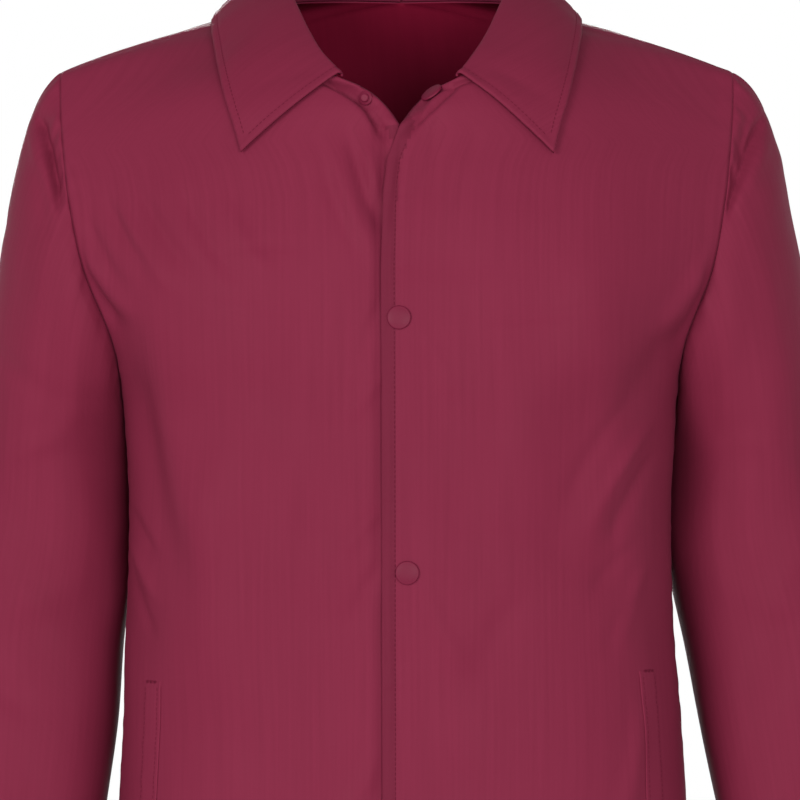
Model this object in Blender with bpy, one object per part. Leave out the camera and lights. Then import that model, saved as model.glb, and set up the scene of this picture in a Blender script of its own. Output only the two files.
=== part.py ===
"""Coach jacket, worn shape with no wearer, built as the cut pieces that are sewn together.

Metres, +Z up, the front faces -Y. The origin is the middle of the neck base, level with
the points where the shoulder seams meet the neck. Wearer's left is +X.
"""
import math
from collections import namedtuple

import bpy
import bmesh
from mathutils import Vector
from mathutils.bvhtree import BVHTree

CLOTH_WALL = 0.0016
COLLAR_WALL = 0.0018
SEAM_GAP = 0.0003
LAP_STEP = 0.0022
LAP_STEP_START = 0.0145
LAP_STEP_END = 0.030
COLLAR_LIFT = 0.0021

FRONT_COLUMN_COUNT = 15
PLACKET_COLUMN = 0.026
TORSO_STEPS = 3
COLLAR_STEPS = 3
SLEEVE_CAP_STEPS = 6
SLEEVE_STEPS = 3
# Row stations above the underarm, closer together where the neck opens.
FRONT_YOKE_STATIONS = (5, 5.5, 6, 6.5, 7, 7.5, 8, 8.5, 9, 9.33, 9.67, 10, 10.5, 11, 12, 13)
BACK_YOKE_STATIONS = (5, 5.5, 6, 6.5, 7, 7.5, 8, 8.5, 9, 9.5, 10, 10.5, 11, 12, 13, 14)

# Torso below the underarm, one row for each level from the hem up.
Torso = namedtuple("Torso", "z half_width front_y back_y side_y")
TORSO_ROWS = (
    Torso(-0.728, 0.1900, -0.1280, 0.1120, -0.012),
    Torso(-0.600, 0.1860, -0.1310, 0.1120, -0.013),
    Torso(-0.463, 0.1790, -0.1330, 0.1080, -0.014),
    Torso(-0.390, 0.1750, -0.1340, 0.1080, -0.015),
    Torso(-0.320, 0.1735, -0.1345, 0.1130, -0.014),
    Torso(-0.262, 0.1765, -0.1335, 0.1200, -0.004),
)

# Front edge above the underarm level: up the centre line to the opening of the neck,
# along the open edge to the collar, then round the neck to the shoulder seam.
Point = namedtuple("Point", "x y z")
FRONT_CENTRE_ROWS = (
    Point(0.0, -0.1335, -0.262),
    Point(0.0, -0.1320, -0.215),
    Point(0.0, -0.1275, -0.165),
    Point(0.0, -0.1190, -0.118),
    Point(0.0, -0.1080, -0.077),
)
FRONT_EDGE_ROWS = (
    Point(0.0, -0.1080, -0.077),
    Point(0.0095, -0.1050, -0.0640),
    Point(0.0205, -0.1000, -0.0545),
    Point(0.0375, -0.0950, -0.0465),
)
FRONT_NECK_ROWS = (
    Point(0.0375, -0.0950, -0.0465),
    Point(0.0600, -0.0650, -0.031),
    Point(0.0750, -0.0320, -0.013),
    Point(0.0800, 0.0, 0.0),
)
BACK_CENTRE_ROWS = (
    Point(0.0, 0.1200, -0.262),
    Point(0.0, 0.1245, -0.217),
    Point(0.0, 0.1265, -0.170),
    Point(0.0, 0.1240, -0.122),
    Point(0.0, 0.1160, -0.074),
    Point(0.0, 0.1030, -0.029),
    Point(0.0, 0.0860, 0.010),
)
BACK_NECK_ROWS = (
    Point(0.0, 0.0860, 0.010),
    Point(0.0420, 0.0740, 0.010),
    Point(0.0700, 0.0400, 0.007),
    Point(0.0800, 0.0, 0.0),
)

# Turn at the side seam, then at each armhole row.
SIDE_TURN = 90.0

# Armhole from the underarm to the shoulder tip. The turn is the angle at which the
# panel runs into the armhole, measured from straight sideways.
Armhole = namedtuple("Armhole", "x y z turn")
ARMHOLE_FRONT_ROWS = (
    Armhole(0.1765, -0.0040, -0.262, 90.0),
    Armhole(0.1815, -0.0480, -0.217, 66.0),
    Armhole(0.1995, -0.0640, -0.168, 46.0),
    Armhole(0.2085, -0.0560, -0.125, 36.0),
    Armhole(0.2125, -0.0420, -0.093, 29.0),
    Armhole(0.2145, -0.0300, -0.072, 22.0),
    Armhole(0.2155, -0.0190, -0.0570, 14.0),
    Armhole(0.2158, -0.0090, -0.0445, 7.0),
    Armhole(0.2160, 0.0, -0.0396, 0.0),
)
ARMHOLE_BACK_ROWS = (
    Armhole(0.1765, -0.0040, -0.262, 90.0),
    Armhole(0.1825, 0.0440, -0.222, 70.0),
    Armhole(0.1990, 0.0640, -0.178, 50.0),
    Armhole(0.2085, 0.0640, -0.138, 40.0),
    Armhole(0.2130, 0.0540, -0.106, 34.0),
    Armhole(0.2145, 0.0420, -0.083, 28.0),
    Armhole(0.2153, 0.0300, -0.066, 20.0),
    Armhole(0.2157, 0.0190, -0.0545, 13.0),
    Armhole(0.2159, 0.0090, -0.0445, 6.0),
    Armhole(0.2160, 0.0, -0.0396, 0.0),
)

# How far a row keeps its heading at either end, as a share of the row's chord.
TORSO_REACH_IN = 0.55
TORSO_REACH_OUT = 0.385
SHOULDER_REACH_IN = 0.36
SHOULDER_REACH_OUT = 0.33

# Fall of the shoulder seam for each metre sideways, at the neck and at the tip.
SHOULDER_START_SLOPE = -0.21
SHOULDER_END_SLOPE = -0.43

SHOULDER_LEAN = -0.0025
WAIST_LEAN = 0.0015

# Rolled edges of the open neck: how far back each of the first columns sits on each front.
EDGE_ROLL = {1: (0.0170, 0.0045, 0.0), -1: (0.0040, 0.0040, 0.0)}

# How far each front laps past the centre line, against the row stations of the front.
Lap = namedtuple("Lap", "station left right")
LAP_ROWS = (
    Lap(0.0, 0.0110, 0.0140),
    Lap(4.0, 0.0115, 0.0140),
    Lap(7.0, 0.0120, 0.0140),
    Lap(8.0, 0.0105, 0.0130),
    Lap(8.5, 0.0080, 0.0090),
    Lap(9.0, 0.0, 0.0),
)

# Sleeve rings below the armhole: centre, half width across and half depth.
Ring = namedtuple("Ring", "z centre_x centre_y half_width half_depth")
SLEEVE_ROWS = (
    Ring(-0.285, 0.2238, 0.0280, 0.0498, 0.0690),
    Ring(-0.340, 0.2262, 0.0320, 0.0545, 0.0640),
    Ring(-0.400, 0.2405, 0.0300, 0.0575, 0.0600),
    Ring(-0.463, 0.2480, 0.0200, 0.0545, 0.0560),
    Ring(-0.560, 0.2620, -0.0020, 0.0480, 0.0490),
    Ring(-0.655, 0.2740, -0.0250, 0.0430, 0.0430),
)
SLEEVE_SWING = {1: 0.0, -1: -0.070}
SLEEVE_SWING_START = -0.340
# Rise of a ring for each metre outwards.
RING_TILT = 0.1

# Where a sleeve line leaves the armhole and how long it keeps that heading.
Cap = namedtuple("Cap", "height out away down reach settle")
CAP_ROWS = (
    Cap(0.00, 0.20, 0.10, 1.00, 0.008, 0.008),
    Cap(0.35, 0.35, 0.25, 1.00, 0.030, 0.040),
    Cap(0.70, 0.62, 0.22, 0.80, 0.040, 0.070),
    Cap(0.90, 0.86, 0.10, 0.50, 0.035, 0.104),
    Cap(1.00, 0.90, 0.00, 0.42, 0.034, 0.122),
)

# Collar from the front corner to the centre back: roll line and outer edge.
CollarRow = namedtuple("CollarRow", "roll_x roll_y roll_z edge_x edge_y edge_z")
COLLAR_ROWS = (
    CollarRow(0.0385, -0.0995, -0.0435, 0.1020, -0.1180, -0.0890),
    CollarRow(0.0510, -0.0740, -0.0220, 0.1090, -0.0830, -0.0570),
    CollarRow(0.0670, -0.0360, 0.0040, 0.1150, -0.0450, -0.0310),
    CollarRow(0.0730, 0.0020, 0.0230, 0.1180, 0.0020, -0.0070),
    CollarRow(0.0670, 0.0410, 0.0350, 0.1050, 0.0560, -0.0060),
    CollarRow(0.0400, 0.0690, 0.0395, 0.0620, 0.1000, -0.0060),
    CollarRow(0.0, 0.0790, 0.0410, 0.0, 0.1130, -0.0070),
)

CAP_SEGMENTS = 18
SEAT_SAMPLES = 12
SNAP_CAP_RADIUS = 0.0075
SNAP_CAP_HEIGHT = 0.0022
Snap = namedtuple("Snap", "x z")
SNAP_ROWS = (
    Snap(-0.0006, -0.1984),
    Snap(0.0046, -0.3580),
    Snap(0.0048, -0.5170),
    Snap(0.0040, -0.6760),
)
TOP_SNAP_LEFT = (0.0205, -0.0572)
TOP_SNAP_RIGHT = (-0.0215, -0.0600)
SNAP_STUD_RADIUS = 0.0045
SNAP_STUD_HEIGHT = 0.0030

WELT_LENGTH = 0.165
WELT_WIDTH = 0.020
WELT_WALL = 0.0012
WELT_TOP = {1: -0.419, -1: -0.426}
WELT_X = {1: 0.1560, -1: 0.1575}
WELT_SLANT = 0.05

MATERIALS = {
    "nylon": (0.254, 0.037, 0.074),
    "nylon_collar": (0.235, 0.034, 0.070),
    "snap": (0.270, 0.045, 0.085),
}


def smooth_step(value, low, high):
    """Rise from 0 at low to 1 at high with flat ends."""
    t = min(max((value - low) / (high - low), 0.0), 1.0)
    return t * t * (3.0 - 2.0 * t)


def spline(rows, station):
    """Values of every column at a place between the rows, smooth through each row."""
    last = len(rows) - 1
    i = min(max(int(math.floor(station)), 0), last - 1)
    t = station - i
    before = rows[i - 1] if i > 0 else [2 * a - b for a, b in zip(rows[0], rows[1])]
    after = rows[i + 2] if i + 2 <= last else [2 * b - a for a, b in zip(rows[last - 1], rows[last])]
    out = []
    for p0, p1, p2, p3 in zip(before, rows[i], rows[i + 1], after):
        slope1 = 0.5 * (p2 - p0)
        slope2 = 0.5 * (p3 - p1)
        h1 = 2 * t ** 3 - 3 * t ** 2 + 1
        h2 = t ** 3 - 2 * t ** 2 + t
        h3 = -2 * t ** 3 + 3 * t ** 2
        h4 = t ** 3 - t ** 2
        out.append(h1 * p1 + h2 * slope1 + h3 * p2 + h4 * slope2)
    return type(rows[0])(*out)


def lookup(rows, key):
    """Row read in straight lines between the rows, by the value of the first column."""
    if key <= rows[0][0]:
        return rows[0]
    for low, high in zip(rows, rows[1:]):
        if key <= high[0]:
            share = (key - low[0]) / (high[0] - low[0])
            return type(low)(*[a + share * (b - a) for a, b in zip(low, high)])
    return rows[-1]


def mirrored(point, side):
    return Vector((side * point.x, point.y, point.z))


def bezier(p0, p1, p2, p3, t):
    s = 1.0 - t
    return p0 * s ** 3 + p1 * (3 * s * s * t) + p2 * (3 * s * t * t) + p3 * t ** 3


TORSO_LAST = len(TORSO_ROWS) - 1
FRONT_OPEN = TORSO_LAST + len(FRONT_CENTRE_ROWS) - 1
FRONT_CORNER = FRONT_OPEN + 1
FRONT_TOP = FRONT_CORNER + len(FRONT_NECK_ROWS) - 1
BACK_NECK = TORSO_LAST + len(BACK_CENTRE_ROWS) - 1
BACK_TOP = BACK_NECK + len(BACK_NECK_ROWS) - 1
SHOULDER_LINE = (Vector(ARMHOLE_FRONT_ROWS[-1][:3]) - Vector(FRONT_NECK_ROWS[-1])).normalized()


def inner_point(face, station):
    """Point of a half panel at the centre line, the open edge or the neck."""
    if station <= TORSO_LAST:
        row = spline(TORSO_ROWS, station)
        return Vector((0.0, row.front_y if face == "front" else row.back_y, row.z))
    if face == "front":
        if station <= FRONT_OPEN:
            return Vector(spline(FRONT_CENTRE_ROWS, station - TORSO_LAST))
        if station <= FRONT_CORNER:
            along_edge = (station - FRONT_OPEN) * (len(FRONT_EDGE_ROWS) - 1)
            return Vector(spline(FRONT_EDGE_ROWS, along_edge))
        return Vector(spline(FRONT_NECK_ROWS, station - FRONT_CORNER))
    if station <= BACK_NECK:
        return Vector(spline(BACK_CENTRE_ROWS, station - TORSO_LAST))
    return Vector(spline(BACK_NECK_ROWS, station - BACK_NECK))


def outer_point(face, station):
    """Point of a half panel on the side seam or the armhole, and its turn there."""
    if station <= TORSO_LAST:
        row = spline(TORSO_ROWS, station)
        return Vector((row.half_width, row.side_y, row.z)), SIDE_TURN
    rows = ARMHOLE_FRONT_ROWS if face == "front" else ARMHOLE_BACK_ROWS
    row = spline(rows, station - TORSO_LAST)
    return Vector((row.x, row.y, row.z)), row.turn


def row_handles(face, station):
    """The four points that bend one row of a half panel."""
    start = inner_point(face, station)
    end, turn = outer_point(face, station)
    top = FRONT_TOP if face == "front" else BACK_TOP
    rise = smooth_step(station, TORSO_LAST, top)
    chord = (end - start).length
    heading_in = Vector((1.0, 0.0, 0.0)).lerp(Vector((1.0, 0.0, SHOULDER_START_SLOPE)), rise).normalized()
    back = 1.0 if face == "front" else -1.0
    angle = math.radians(turn)
    drop = SHOULDER_END_SLOPE * smooth_step(station, TORSO_LAST + 1, top)
    heading_out = Vector((math.cos(angle), back * math.sin(angle), drop)).normalized()
    reach_in = TORSO_REACH_IN + (SHOULDER_REACH_IN - TORSO_REACH_IN) * rise
    reach_out = TORSO_REACH_OUT + (SHOULDER_REACH_OUT - TORSO_REACH_OUT) * rise
    return start, start + heading_in * (reach_in * chord), end - heading_out * (reach_out * chord), end


def body_point(face, station, share):
    """Point of the half body at a row station and a share of the way to the side."""
    return bezier(*row_handles(face, station), share)


def share_at_x(face, station, x):
    """Share along a row at which it reaches a given x."""
    handles = row_handles(face, station)
    low, high = 0.0, 1.0
    for _ in range(30):
        mid = 0.5 * (low + high)
        if bezier(*handles, mid).x < x:
            low = mid
        else:
            high = mid
    return 0.5 * (low + high)


def lean(point):
    """The jacket sits a little to the wearer's right at the shoulders, to the left at the waist."""
    reach = abs(point.x)
    upper = smooth_step(point.z, -0.30, -0.05) * (1.0 - 0.8 * smooth_step(reach, 0.205, 0.24))
    lower = 1.0 - smooth_step(point.z, -0.46, -0.39)
    shift = (SHOULDER_LEAN * upper + WAIST_LEAN * lower) * smooth_step(reach, 0.0, 0.15)
    return Vector((point.x + shift, point.y, point.z))


# Large folds: a ridge or trough along a line on the front or the back.
Fold = namedtuple("Fold", "x0 z0 x1 z1 width height")
FRONT_FOLD_ROWS = (
    Fold(-0.200, -0.150, -0.120, -0.260, 0.020, 0.0030),
    Fold(-0.185, -0.200, -0.135, -0.330, 0.016, -0.0026),
    Fold(0.190, -0.190, 0.130, -0.300, 0.020, 0.0026),
    Fold(0.160, -0.270, 0.120, -0.340, 0.018, 0.0024),
    Fold(0.150, -0.370, 0.085, -0.330, 0.016, -0.0022),
    Fold(-0.120, -0.560, -0.110, -0.740, 0.026, 0.0050),
    Fold(-0.055, -0.600, -0.060, -0.740, 0.024, -0.0040),
    Fold(0.065, -0.590, 0.070, -0.740, 0.026, 0.0042),
    Fold(0.130, -0.560, 0.128, -0.740, 0.022, -0.0040),
)
BACK_FOLD_ROWS = (
    Fold(-0.170, -0.150, -0.060, -0.240, 0.024, 0.0034),
    Fold(0.175, -0.160, 0.075, -0.260, 0.024, 0.0030),
    Fold(-0.150, -0.300, -0.070, -0.380, 0.022, -0.0026),
    Fold(0.140, -0.310, 0.060, -0.360, 0.022, 0.0026),
    Fold(-0.095, -0.500, -0.100, -0.740, 0.030, 0.0060),
    Fold(0.020, -0.520, 0.015, -0.740, 0.028, -0.0048),
    Fold(0.110, -0.500, 0.120, -0.740, 0.030, 0.0056),
)


def fold_height(rows, x, z):
    """Sum of the folds at a place, each fading out at both ends of its line."""
    total = 0.0
    for x0, z0, x1, z1, width, height in rows:
        run = Vector((x1 - x0, z1 - z0))
        along = (Vector((x - x0, z - z0)).dot(run)) / run.length_squared
        across = abs((x - x0) * run.y - (z - z0) * run.x) / run.length
        ends = smooth_step(along, -0.15, 0.35) * (1.0 - smooth_step(along, 0.75, 1.2))
        total += height * ends * math.exp(-(across / width) ** 2)
    return total


class Panel:
    """Points and four-sided faces of one cut piece, before it gets its wall."""

    def __init__(self, name):
        self.name = name
        self.points = {}
        self.faces = []
        self.normals = {}
        self.shifts = {}

    def face(self, *keys):
        ring = []
        for key in keys:
            if key not in ring:
                ring.append(key)
        if len(ring) >= 3:
            self.faces.append(tuple(ring))

    def raw_normals(self):
        sums = {key: Vector() for key in self.points}
        for ring in self.faces:
            corners = [self.points[key] for key in ring]
            area = Vector()
            for a, b in zip(corners, corners[1:] + corners[:1]):
                area += a.cross(b)
            for key in ring:
                sums[key] += area
        return {key: total.normalized() for key, total in sums.items()}

    def flip(self):
        self.faces = [tuple(reversed(ring)) for ring in self.faces]


def shell_object(panel, wall, material):
    """Closed solid: the visible face, the same face moved in by the wall, and the rim."""
    normals = panel.raw_normals()
    normals.update(panel.normals)
    keys = list(panel.points)
    index = {key: i for i, key in enumerate(keys)}
    outer = [panel.points[key] + panel.shifts.get(key, Vector()) for key in keys]
    inner = [point - normals[key] * wall for point, key in zip(outer, keys)]
    count = len(keys)
    faces = [tuple(index[key] for key in ring) for ring in panel.faces]
    edges = {}
    for ring in faces:
        for a, b in zip(ring, ring[1:] + ring[:1]):
            edges[(a, b)] = True
    rim = [(a, b) for a, b in edges if (b, a) not in edges]
    all_faces = list(faces)
    all_faces += [tuple(count + i for i in reversed(ring)) for ring in faces]
    all_faces += [(b, a, count + a, count + b) for a, b in rim]
    return mesh_object(panel.name, outer + inner, all_faces, material)


def mesh_object(name, points, faces, material):
    mesh = bpy.data.meshes.new(name)
    mesh.from_pydata([tuple(lean(point)) for point in points], [], faces)
    bm = bmesh.new()
    bm.from_mesh(mesh)
    bmesh.ops.triangulate(bm, faces=bm.faces[:])
    bmesh.ops.recalc_face_normals(bm, faces=bm.faces[:])
    for face in bm.faces:
        face.smooth = True
    for edge in bm.edges:
        if len(edge.link_faces) == 2 and edge.calc_face_angle(0.0) > math.radians(40):
            edge.smooth = False
    bm.to_mesh(mesh)
    bm.free()
    obj = bpy.data.objects.new(name, mesh)
    obj.data.materials.append(material)
    bpy.context.scene.collection.objects.link(obj)
    return obj


def make_material(name, colour, roughness):
    material = bpy.data.materials.new(name)
    material.use_nodes = True
    shader = material.node_tree.nodes["Principled BSDF"]
    shader.inputs["Base Color"].default_value = (*colour, 1.0)
    shader.inputs["Roughness"].default_value = roughness
    return material


TORSO_STATIONS = [i / TORSO_STEPS for i in range(TORSO_LAST * TORSO_STEPS)]
FRONT_STATIONS = TORSO_STATIONS + list(FRONT_YOKE_STATIONS)
BACK_STATIONS = TORSO_STATIONS + list(BACK_YOKE_STATIONS)
SHARES = [0.0, PLACKET_COLUMN, 2.3 * PLACKET_COLUMN]
SHARES += [SHARES[2] + (1.0 - SHARES[2]) * i / (FRONT_COLUMN_COUNT - 2) for i in range(1, FRONT_COLUMN_COUNT - 1)]


def folded(point, face, side, share, station, top):
    """Move a body point out by the large folds, none right at seams and edges."""
    rows = FRONT_FOLD_ROWS if face == "front" else BACK_FOLD_ROWS
    fade = 1.0 - smooth_step(share, 0.86, 0.99)
    fade *= 1.0 - smooth_step(station, top - 4.0, top - 2.0)
    if face == "front":
        fade *= smooth_step(abs(point.x), 0.022, 0.05)
    height = fold_height(rows, side * point.x, point.z) * fade
    outward = -1.0 if face == "front" else 1.0
    return Vector((point.x, point.y + outward * height, point.z))


def armhole_loop(side):
    """Armhole points from the underarm up the front to the tip and down the back."""
    front = [outer_point("front", s)[0] for s in FRONT_STATIONS if s >= TORSO_LAST]
    back = [outer_point("back", s)[0] for s in BACK_STATIONS if s >= TORSO_LAST]
    loop = front + back[-2:0:-1]
    return [mirrored(point, side) for point in loop], len(front) - 1


def armhole_frame(side):
    """For each loop point the wall direction and the direction across the seam."""
    loop, _ = armhole_loop(side)
    centre = sum(loop, Vector()) / len(loop)
    frames = {}
    for i, point in enumerate(loop):
        run = (loop[(i + 1) % len(loop)] - loop[i - 1]).normalized()
        radial = point - centre
        radial.x = 0.0
        wall = radial.normalized() + Vector((0.25 * side, 0.0, 0.0))
        wall = (wall - run * wall.dot(run)).normalized()
        across = run.cross(wall).normalized()
        if across.x * side < 0.0:
            across = -across
        frames[tuple(round(c, 6) for c in point)] = (wall, across)
    return frames


ARMHOLE_FRAMES = {1: armhole_frame(1), -1: armhole_frame(-1)}
SHOULDER_WALL = Vector((-SHOULDER_LINE.z, 0.0, SHOULDER_LINE.x)).normalized()


def seam_treatment(panel, key, point, face, side, share, station, top):
    """Wall direction and seam allowance for a body point on a seam."""
    half = 0.5 * SEAM_GAP
    shift = Vector()
    if share == 1.0 and station >= TORSO_LAST:
        wall, across = ARMHOLE_FRAMES[side][tuple(round(c, 6) for c in point)]
        panel.normals[key] = wall
        shift -= across * half
    if share == 1.0 and station <= TORSO_LAST:
        if station < TORSO_LAST:
            panel.normals[key] = Vector((side, 0.0, 0.0))
        shift.y += -half if face == "front" else half
    if station == top:
        if share < 1.0:
            panel.normals[key] = Vector((side * SHOULDER_WALL.x, 0.0, SHOULDER_WALL.z))
        shift.y += -half if face == "front" else half
    if shift.length > 0.0:
        panel.shifts[key] = shift


def build_front(side):
    panel = Panel("front_left" if side > 0 else "front_right")
    under = side < 0

    def under_lap(point, station, x):
        """The right front steps in where the left front lies over it."""
        deep = 1.0 - smooth_step(x, LAP_STEP_START, LAP_STEP_END)
        deep *= 1.0 - smooth_step(station, FRONT_OPEN, FRONT_CORNER)
        return Vector((point.x, point.y + LAP_STEP * deep, point.z)) if under else point

    for i, station in enumerate(FRONT_STATIONS):
        open_share = smooth_step(station, FRONT_OPEN, FRONT_OPEN + 0.35)
        open_share *= 1.0 - smooth_step(station, FRONT_CORNER - 0.4, FRONT_CORNER)
        for j, share in enumerate(SHARES):
            point = body_point("front", station, share)
            point = under_lap(point, station, point.x)
            if j < len(EDGE_ROLL[side]):
                point.y += EDGE_ROLL[side][j] * open_share
            point = mirrored(folded(point, "front", side, share, station, FRONT_TOP), side)
            panel.points[(i, j)] = point
            seam_treatment(panel, (i, j), point, "front", side, share, station, FRONT_TOP)
        lap = lookup(LAP_ROWS, station).right if under else lookup(LAP_ROWS, station).left
        if station < FRONT_OPEN and lap > 0.0:
            point = body_point("front", station, share_at_x("front", station, lap))
            panel.points[(i, -1)] = mirrored(under_lap(point, station, 0.0), -side)
    for i in range(len(FRONT_STATIONS) - 1):
        for j in range(len(SHARES) - 1):
            panel.face((i, j), (i, j + 1), (i + 1, j + 1), (i + 1, j))
        if (i, -1) in panel.points:
            upper = (i + 1, -1) if (i + 1, -1) in panel.points else (i + 1, 0)
            panel.face((i, -1), (i, 0), (i + 1, 0), upper)
    if side < 0:
        panel.flip()
    return panel


def build_back():
    panel = Panel("back")
    for i, station in enumerate(BACK_STATIONS):
        for side in (1, -1):
            for j, share in enumerate(SHARES):
                at_fold = j == 0 and station <= BACK_NECK
                key = (i, 0, 0) if at_fold else (i, j, side)
                point = body_point("back", station, share)
                point = mirrored(folded(point, "back", side, share, station, BACK_TOP), side)
                if key in panel.points:
                    continue
                panel.points[key] = point
                seam_treatment(panel, key, point, "back", side, share, station, BACK_TOP)

    def key_at(i, j, side):
        return (i, 0, 0) if j == 0 and BACK_STATIONS[i] <= BACK_NECK else (i, j, side)

    for i in range(len(BACK_STATIONS) - 1):
        for side in (1, -1):
            for j in range(len(SHARES) - 1):
                ring = [key_at(i, j, side), key_at(i + 1, j, side), key_at(i + 1, j + 1, side),
                        key_at(i, j + 1, side)]
                panel.face(*(ring if side > 0 else ring[::-1]))
    return panel


def sleeve_ring(side, station, angle):
    """Point on a sleeve ring below the armhole, angle 0 outwards, front negative y."""
    row = spline(SLEEVE_ROWS, station)
    swing = SLEEVE_SWING[side] * max(SLEEVE_SWING_START - row.z, 0.0)
    x = row.centre_x + swing + row.half_width * math.cos(angle)
    y = row.centre_y + row.half_depth * math.sin(angle)
    return Vector((side * x, y, row.z + RING_TILT * (x - row.centre_x)))


# Height of the plain cuff, above which the sleeve folds begin.
CUFF_DEPTH = 0.040

# Sleeve folds: soft rings round the elbow, where the arm bends forward.
SleeveFold = namedtuple("SleeveFold", "z angle width spread height slope")
ELBOW_ROWS = (
    SleeveFold(-0.330, -0.6, 0.014, 1.1, 0.0026, 0.020),
    SleeveFold(-0.385, -1.2, 0.013, 1.0, 0.0030, -0.018),
    SleeveFold(-0.430, -0.9, 0.013, 1.0, -0.0028, 0.016),
    SleeveFold(-0.520, -1.4, 0.016, 1.1, 0.0024, 0.020),
    SleeveFold(-0.600, -0.8, 0.014, 1.2, 0.0024, -0.016),
    SleeveFold(-0.370, 1.6, 0.016, 1.0, -0.0026, 0.018),
    SleeveFold(-0.560, 1.3, 0.018, 1.1, 0.0024, 0.018),
)


def sleeve_fold(angle, z):
    total = 0.0
    for level, centre, width, spread, height, slope in ELBOW_ROWS:
        turn = (angle - centre + math.pi) % (2 * math.pi) - math.pi
        fall = (z - level - slope * turn) / width
        total += height * math.exp(-fall * fall) * math.exp(-(turn / spread) ** 2)
    return total


def build_sleeve(side):
    name = "sleeve_left" if side > 0 else "sleeve_right"
    panel = Panel(name)
    loop, tip = armhole_loop(side)
    count = len(loop)
    top_z = loop[tip].z
    low_z = loop[0].z
    lengths = [0.0]
    for i in range(count):
        lengths.append(lengths[-1] + (loop[(i + 1) % count] - loop[i]).length)
    last_ring = (len(SLEEVE_ROWS) - 1) * SLEEVE_STEPS
    for k, start in enumerate(loop):
        if k <= tip:
            angle = -math.pi + math.pi * lengths[k] / lengths[tip]
        else:
            angle = math.pi * (lengths[k] - lengths[tip]) / (lengths[count] - lengths[tip])
        height = (start.z - low_z) / (top_z - low_z)
        row = lookup(CAP_ROWS, height)
        away = row.away * (-1.0 if 0 < k < tip else 1.0)
        heading = Vector((side * row.out, away, -row.down)).normalized()
        end = sleeve_ring(side, 0.0, angle)
        below = sleeve_ring(side, 0.25, angle)
        arrive = (end - below).normalized()
        for r in range(SLEEVE_CAP_STEPS + 1):
            t = r / SLEEVE_CAP_STEPS
            point = bezier(start, start + heading * row.reach, end + arrive * row.settle, end, t)
            panel.points[(r, k)] = point
        for r in range(1, last_ring + 1):
            station = r / SLEEVE_STEPS
            point = sleeve_ring(side, station, angle)
            outward = Vector((side * math.cos(angle), math.sin(angle), 0.0))
            fade = smooth_step(math.cos(angle), -0.9, -0.2)
            fade *= smooth_step(point.z, SLEEVE_ROWS[-1].z, SLEEVE_ROWS[-1].z + CUFF_DEPTH)
            point += outward * (sleeve_fold(angle, point.z) * fade)
            panel.points[(SLEEVE_CAP_STEPS + r, k)] = point
        wall, across = ARMHOLE_FRAMES[side][tuple(round(c, 6) for c in start)]
        panel.normals[(0, k)] = wall
        panel.shifts[(0, k)] = across * (0.5 * SEAM_GAP)
    rings = SLEEVE_CAP_STEPS + last_ring
    for r in range(rings):
        for k in range(count):
            n = (k + 1) % count
            panel.face((r, k), (r + 1, k), (r + 1, n), (r, n))
    if side < 0:
        panel.flip()
    return panel


def collar_station(side, share):
    """Foot, roll line and outer edge of the collar at one place of its half."""
    rows = len(COLLAR_ROWS) - 1
    row = spline(COLLAR_ROWS, share)
    front_rows = len(FRONT_NECK_ROWS) - 1
    if share <= front_rows:
        neck = Vector(spline(FRONT_NECK_ROWS, share))
        face, station = "front", FRONT_CORNER + share
    else:
        neck = Vector(spline(BACK_NECK_ROWS, rows - share))
        face, station = "back", BACK_TOP - (share - front_rows)
    into = body_point(face, station, 0.06) - neck
    into = into.normalized()
    foot = neck - into * (SEAM_GAP + COLLAR_WALL)
    roll = Vector((row.roll_x, row.roll_y, row.roll_z))
    edge = Vector((row.edge_x, row.edge_y, row.edge_z))
    return [mirrored(point, side) for point in (foot, roll, edge)]


STAND_STEPS = 3
FALL_STEPS = 7


def build_collar(body_tree):
    panel = Panel("collar")
    rows = len(COLLAR_ROWS) - 1
    stations = []
    for i in range(rows * COLLAR_STEPS + 1):
        stations.append((-1, i / COLLAR_STEPS))
    for i in range(rows * COLLAR_STEPS - 1, -1, -1):
        stations.append((1, i / COLLAR_STEPS))
    for i, (side, share) in enumerate(stations):
        foot, roll, edge = collar_station(side, share)
        hit, normal, _, _ = body_tree.find_nearest(edge)
        edge = hit + normal * (COLLAR_LIFT + COLLAR_WALL)
        outward = edge - roll
        outward.z = 0.0
        outward.normalize()
        rise = roll - foot
        stand_end = roll - outward * min(0.006, 0.45 * rise.length)
        stand_start = foot + Vector((0.0, 0.0, 0.45 * rise.length))
        ease = smooth_step(share, 0.0, 1.5)
        fall_start = roll + (edge - roll) * 0.10 + outward * (0.003 + 0.006 * ease)
        bow = outward * 0.004 + Vector((0.0, 0.0, 0.006))
        fall_end = edge + (roll - edge) * 0.35 + bow * (0.35 + 0.65 * ease)
        for j in range(STAND_STEPS + 1):
            t = j / STAND_STEPS
            panel.points[(i, j)] = bezier(foot, stand_start, stand_end, roll, t)
        for j in range(1, FALL_STEPS + 1):
            t = (j / FALL_STEPS) ** 1.15
            point = bezier(roll, fall_start, fall_end, edge, t)
            hit, normal, _, _ = body_tree.find_nearest(point)
            rise_over = (point - hit).dot(normal)
            need = COLLAR_LIFT + COLLAR_WALL
            if rise_over < need and t > 0.3:
                point = point + normal * (need - rise_over)
            panel.points[(i, STAND_STEPS + j)] = point
    for i in range(len(stations) - 1):
        for j in range(STAND_STEPS + FALL_STEPS):
            panel.face((i, j), (i, j + 1), (i + 1, j + 1), (i + 1, j))
    return panel


def surface_tree(panels):
    points = []
    faces = []
    for panel in panels:
        base = len(points)
        index = {key: base + i for i, key in enumerate(panel.points)}
        points += [panel.points[key] for key in panel.points]
        faces += [tuple(index[key] for key in ring) for ring in panel.faces]
    return BVHTree.FromPolygons(points, faces)


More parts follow.
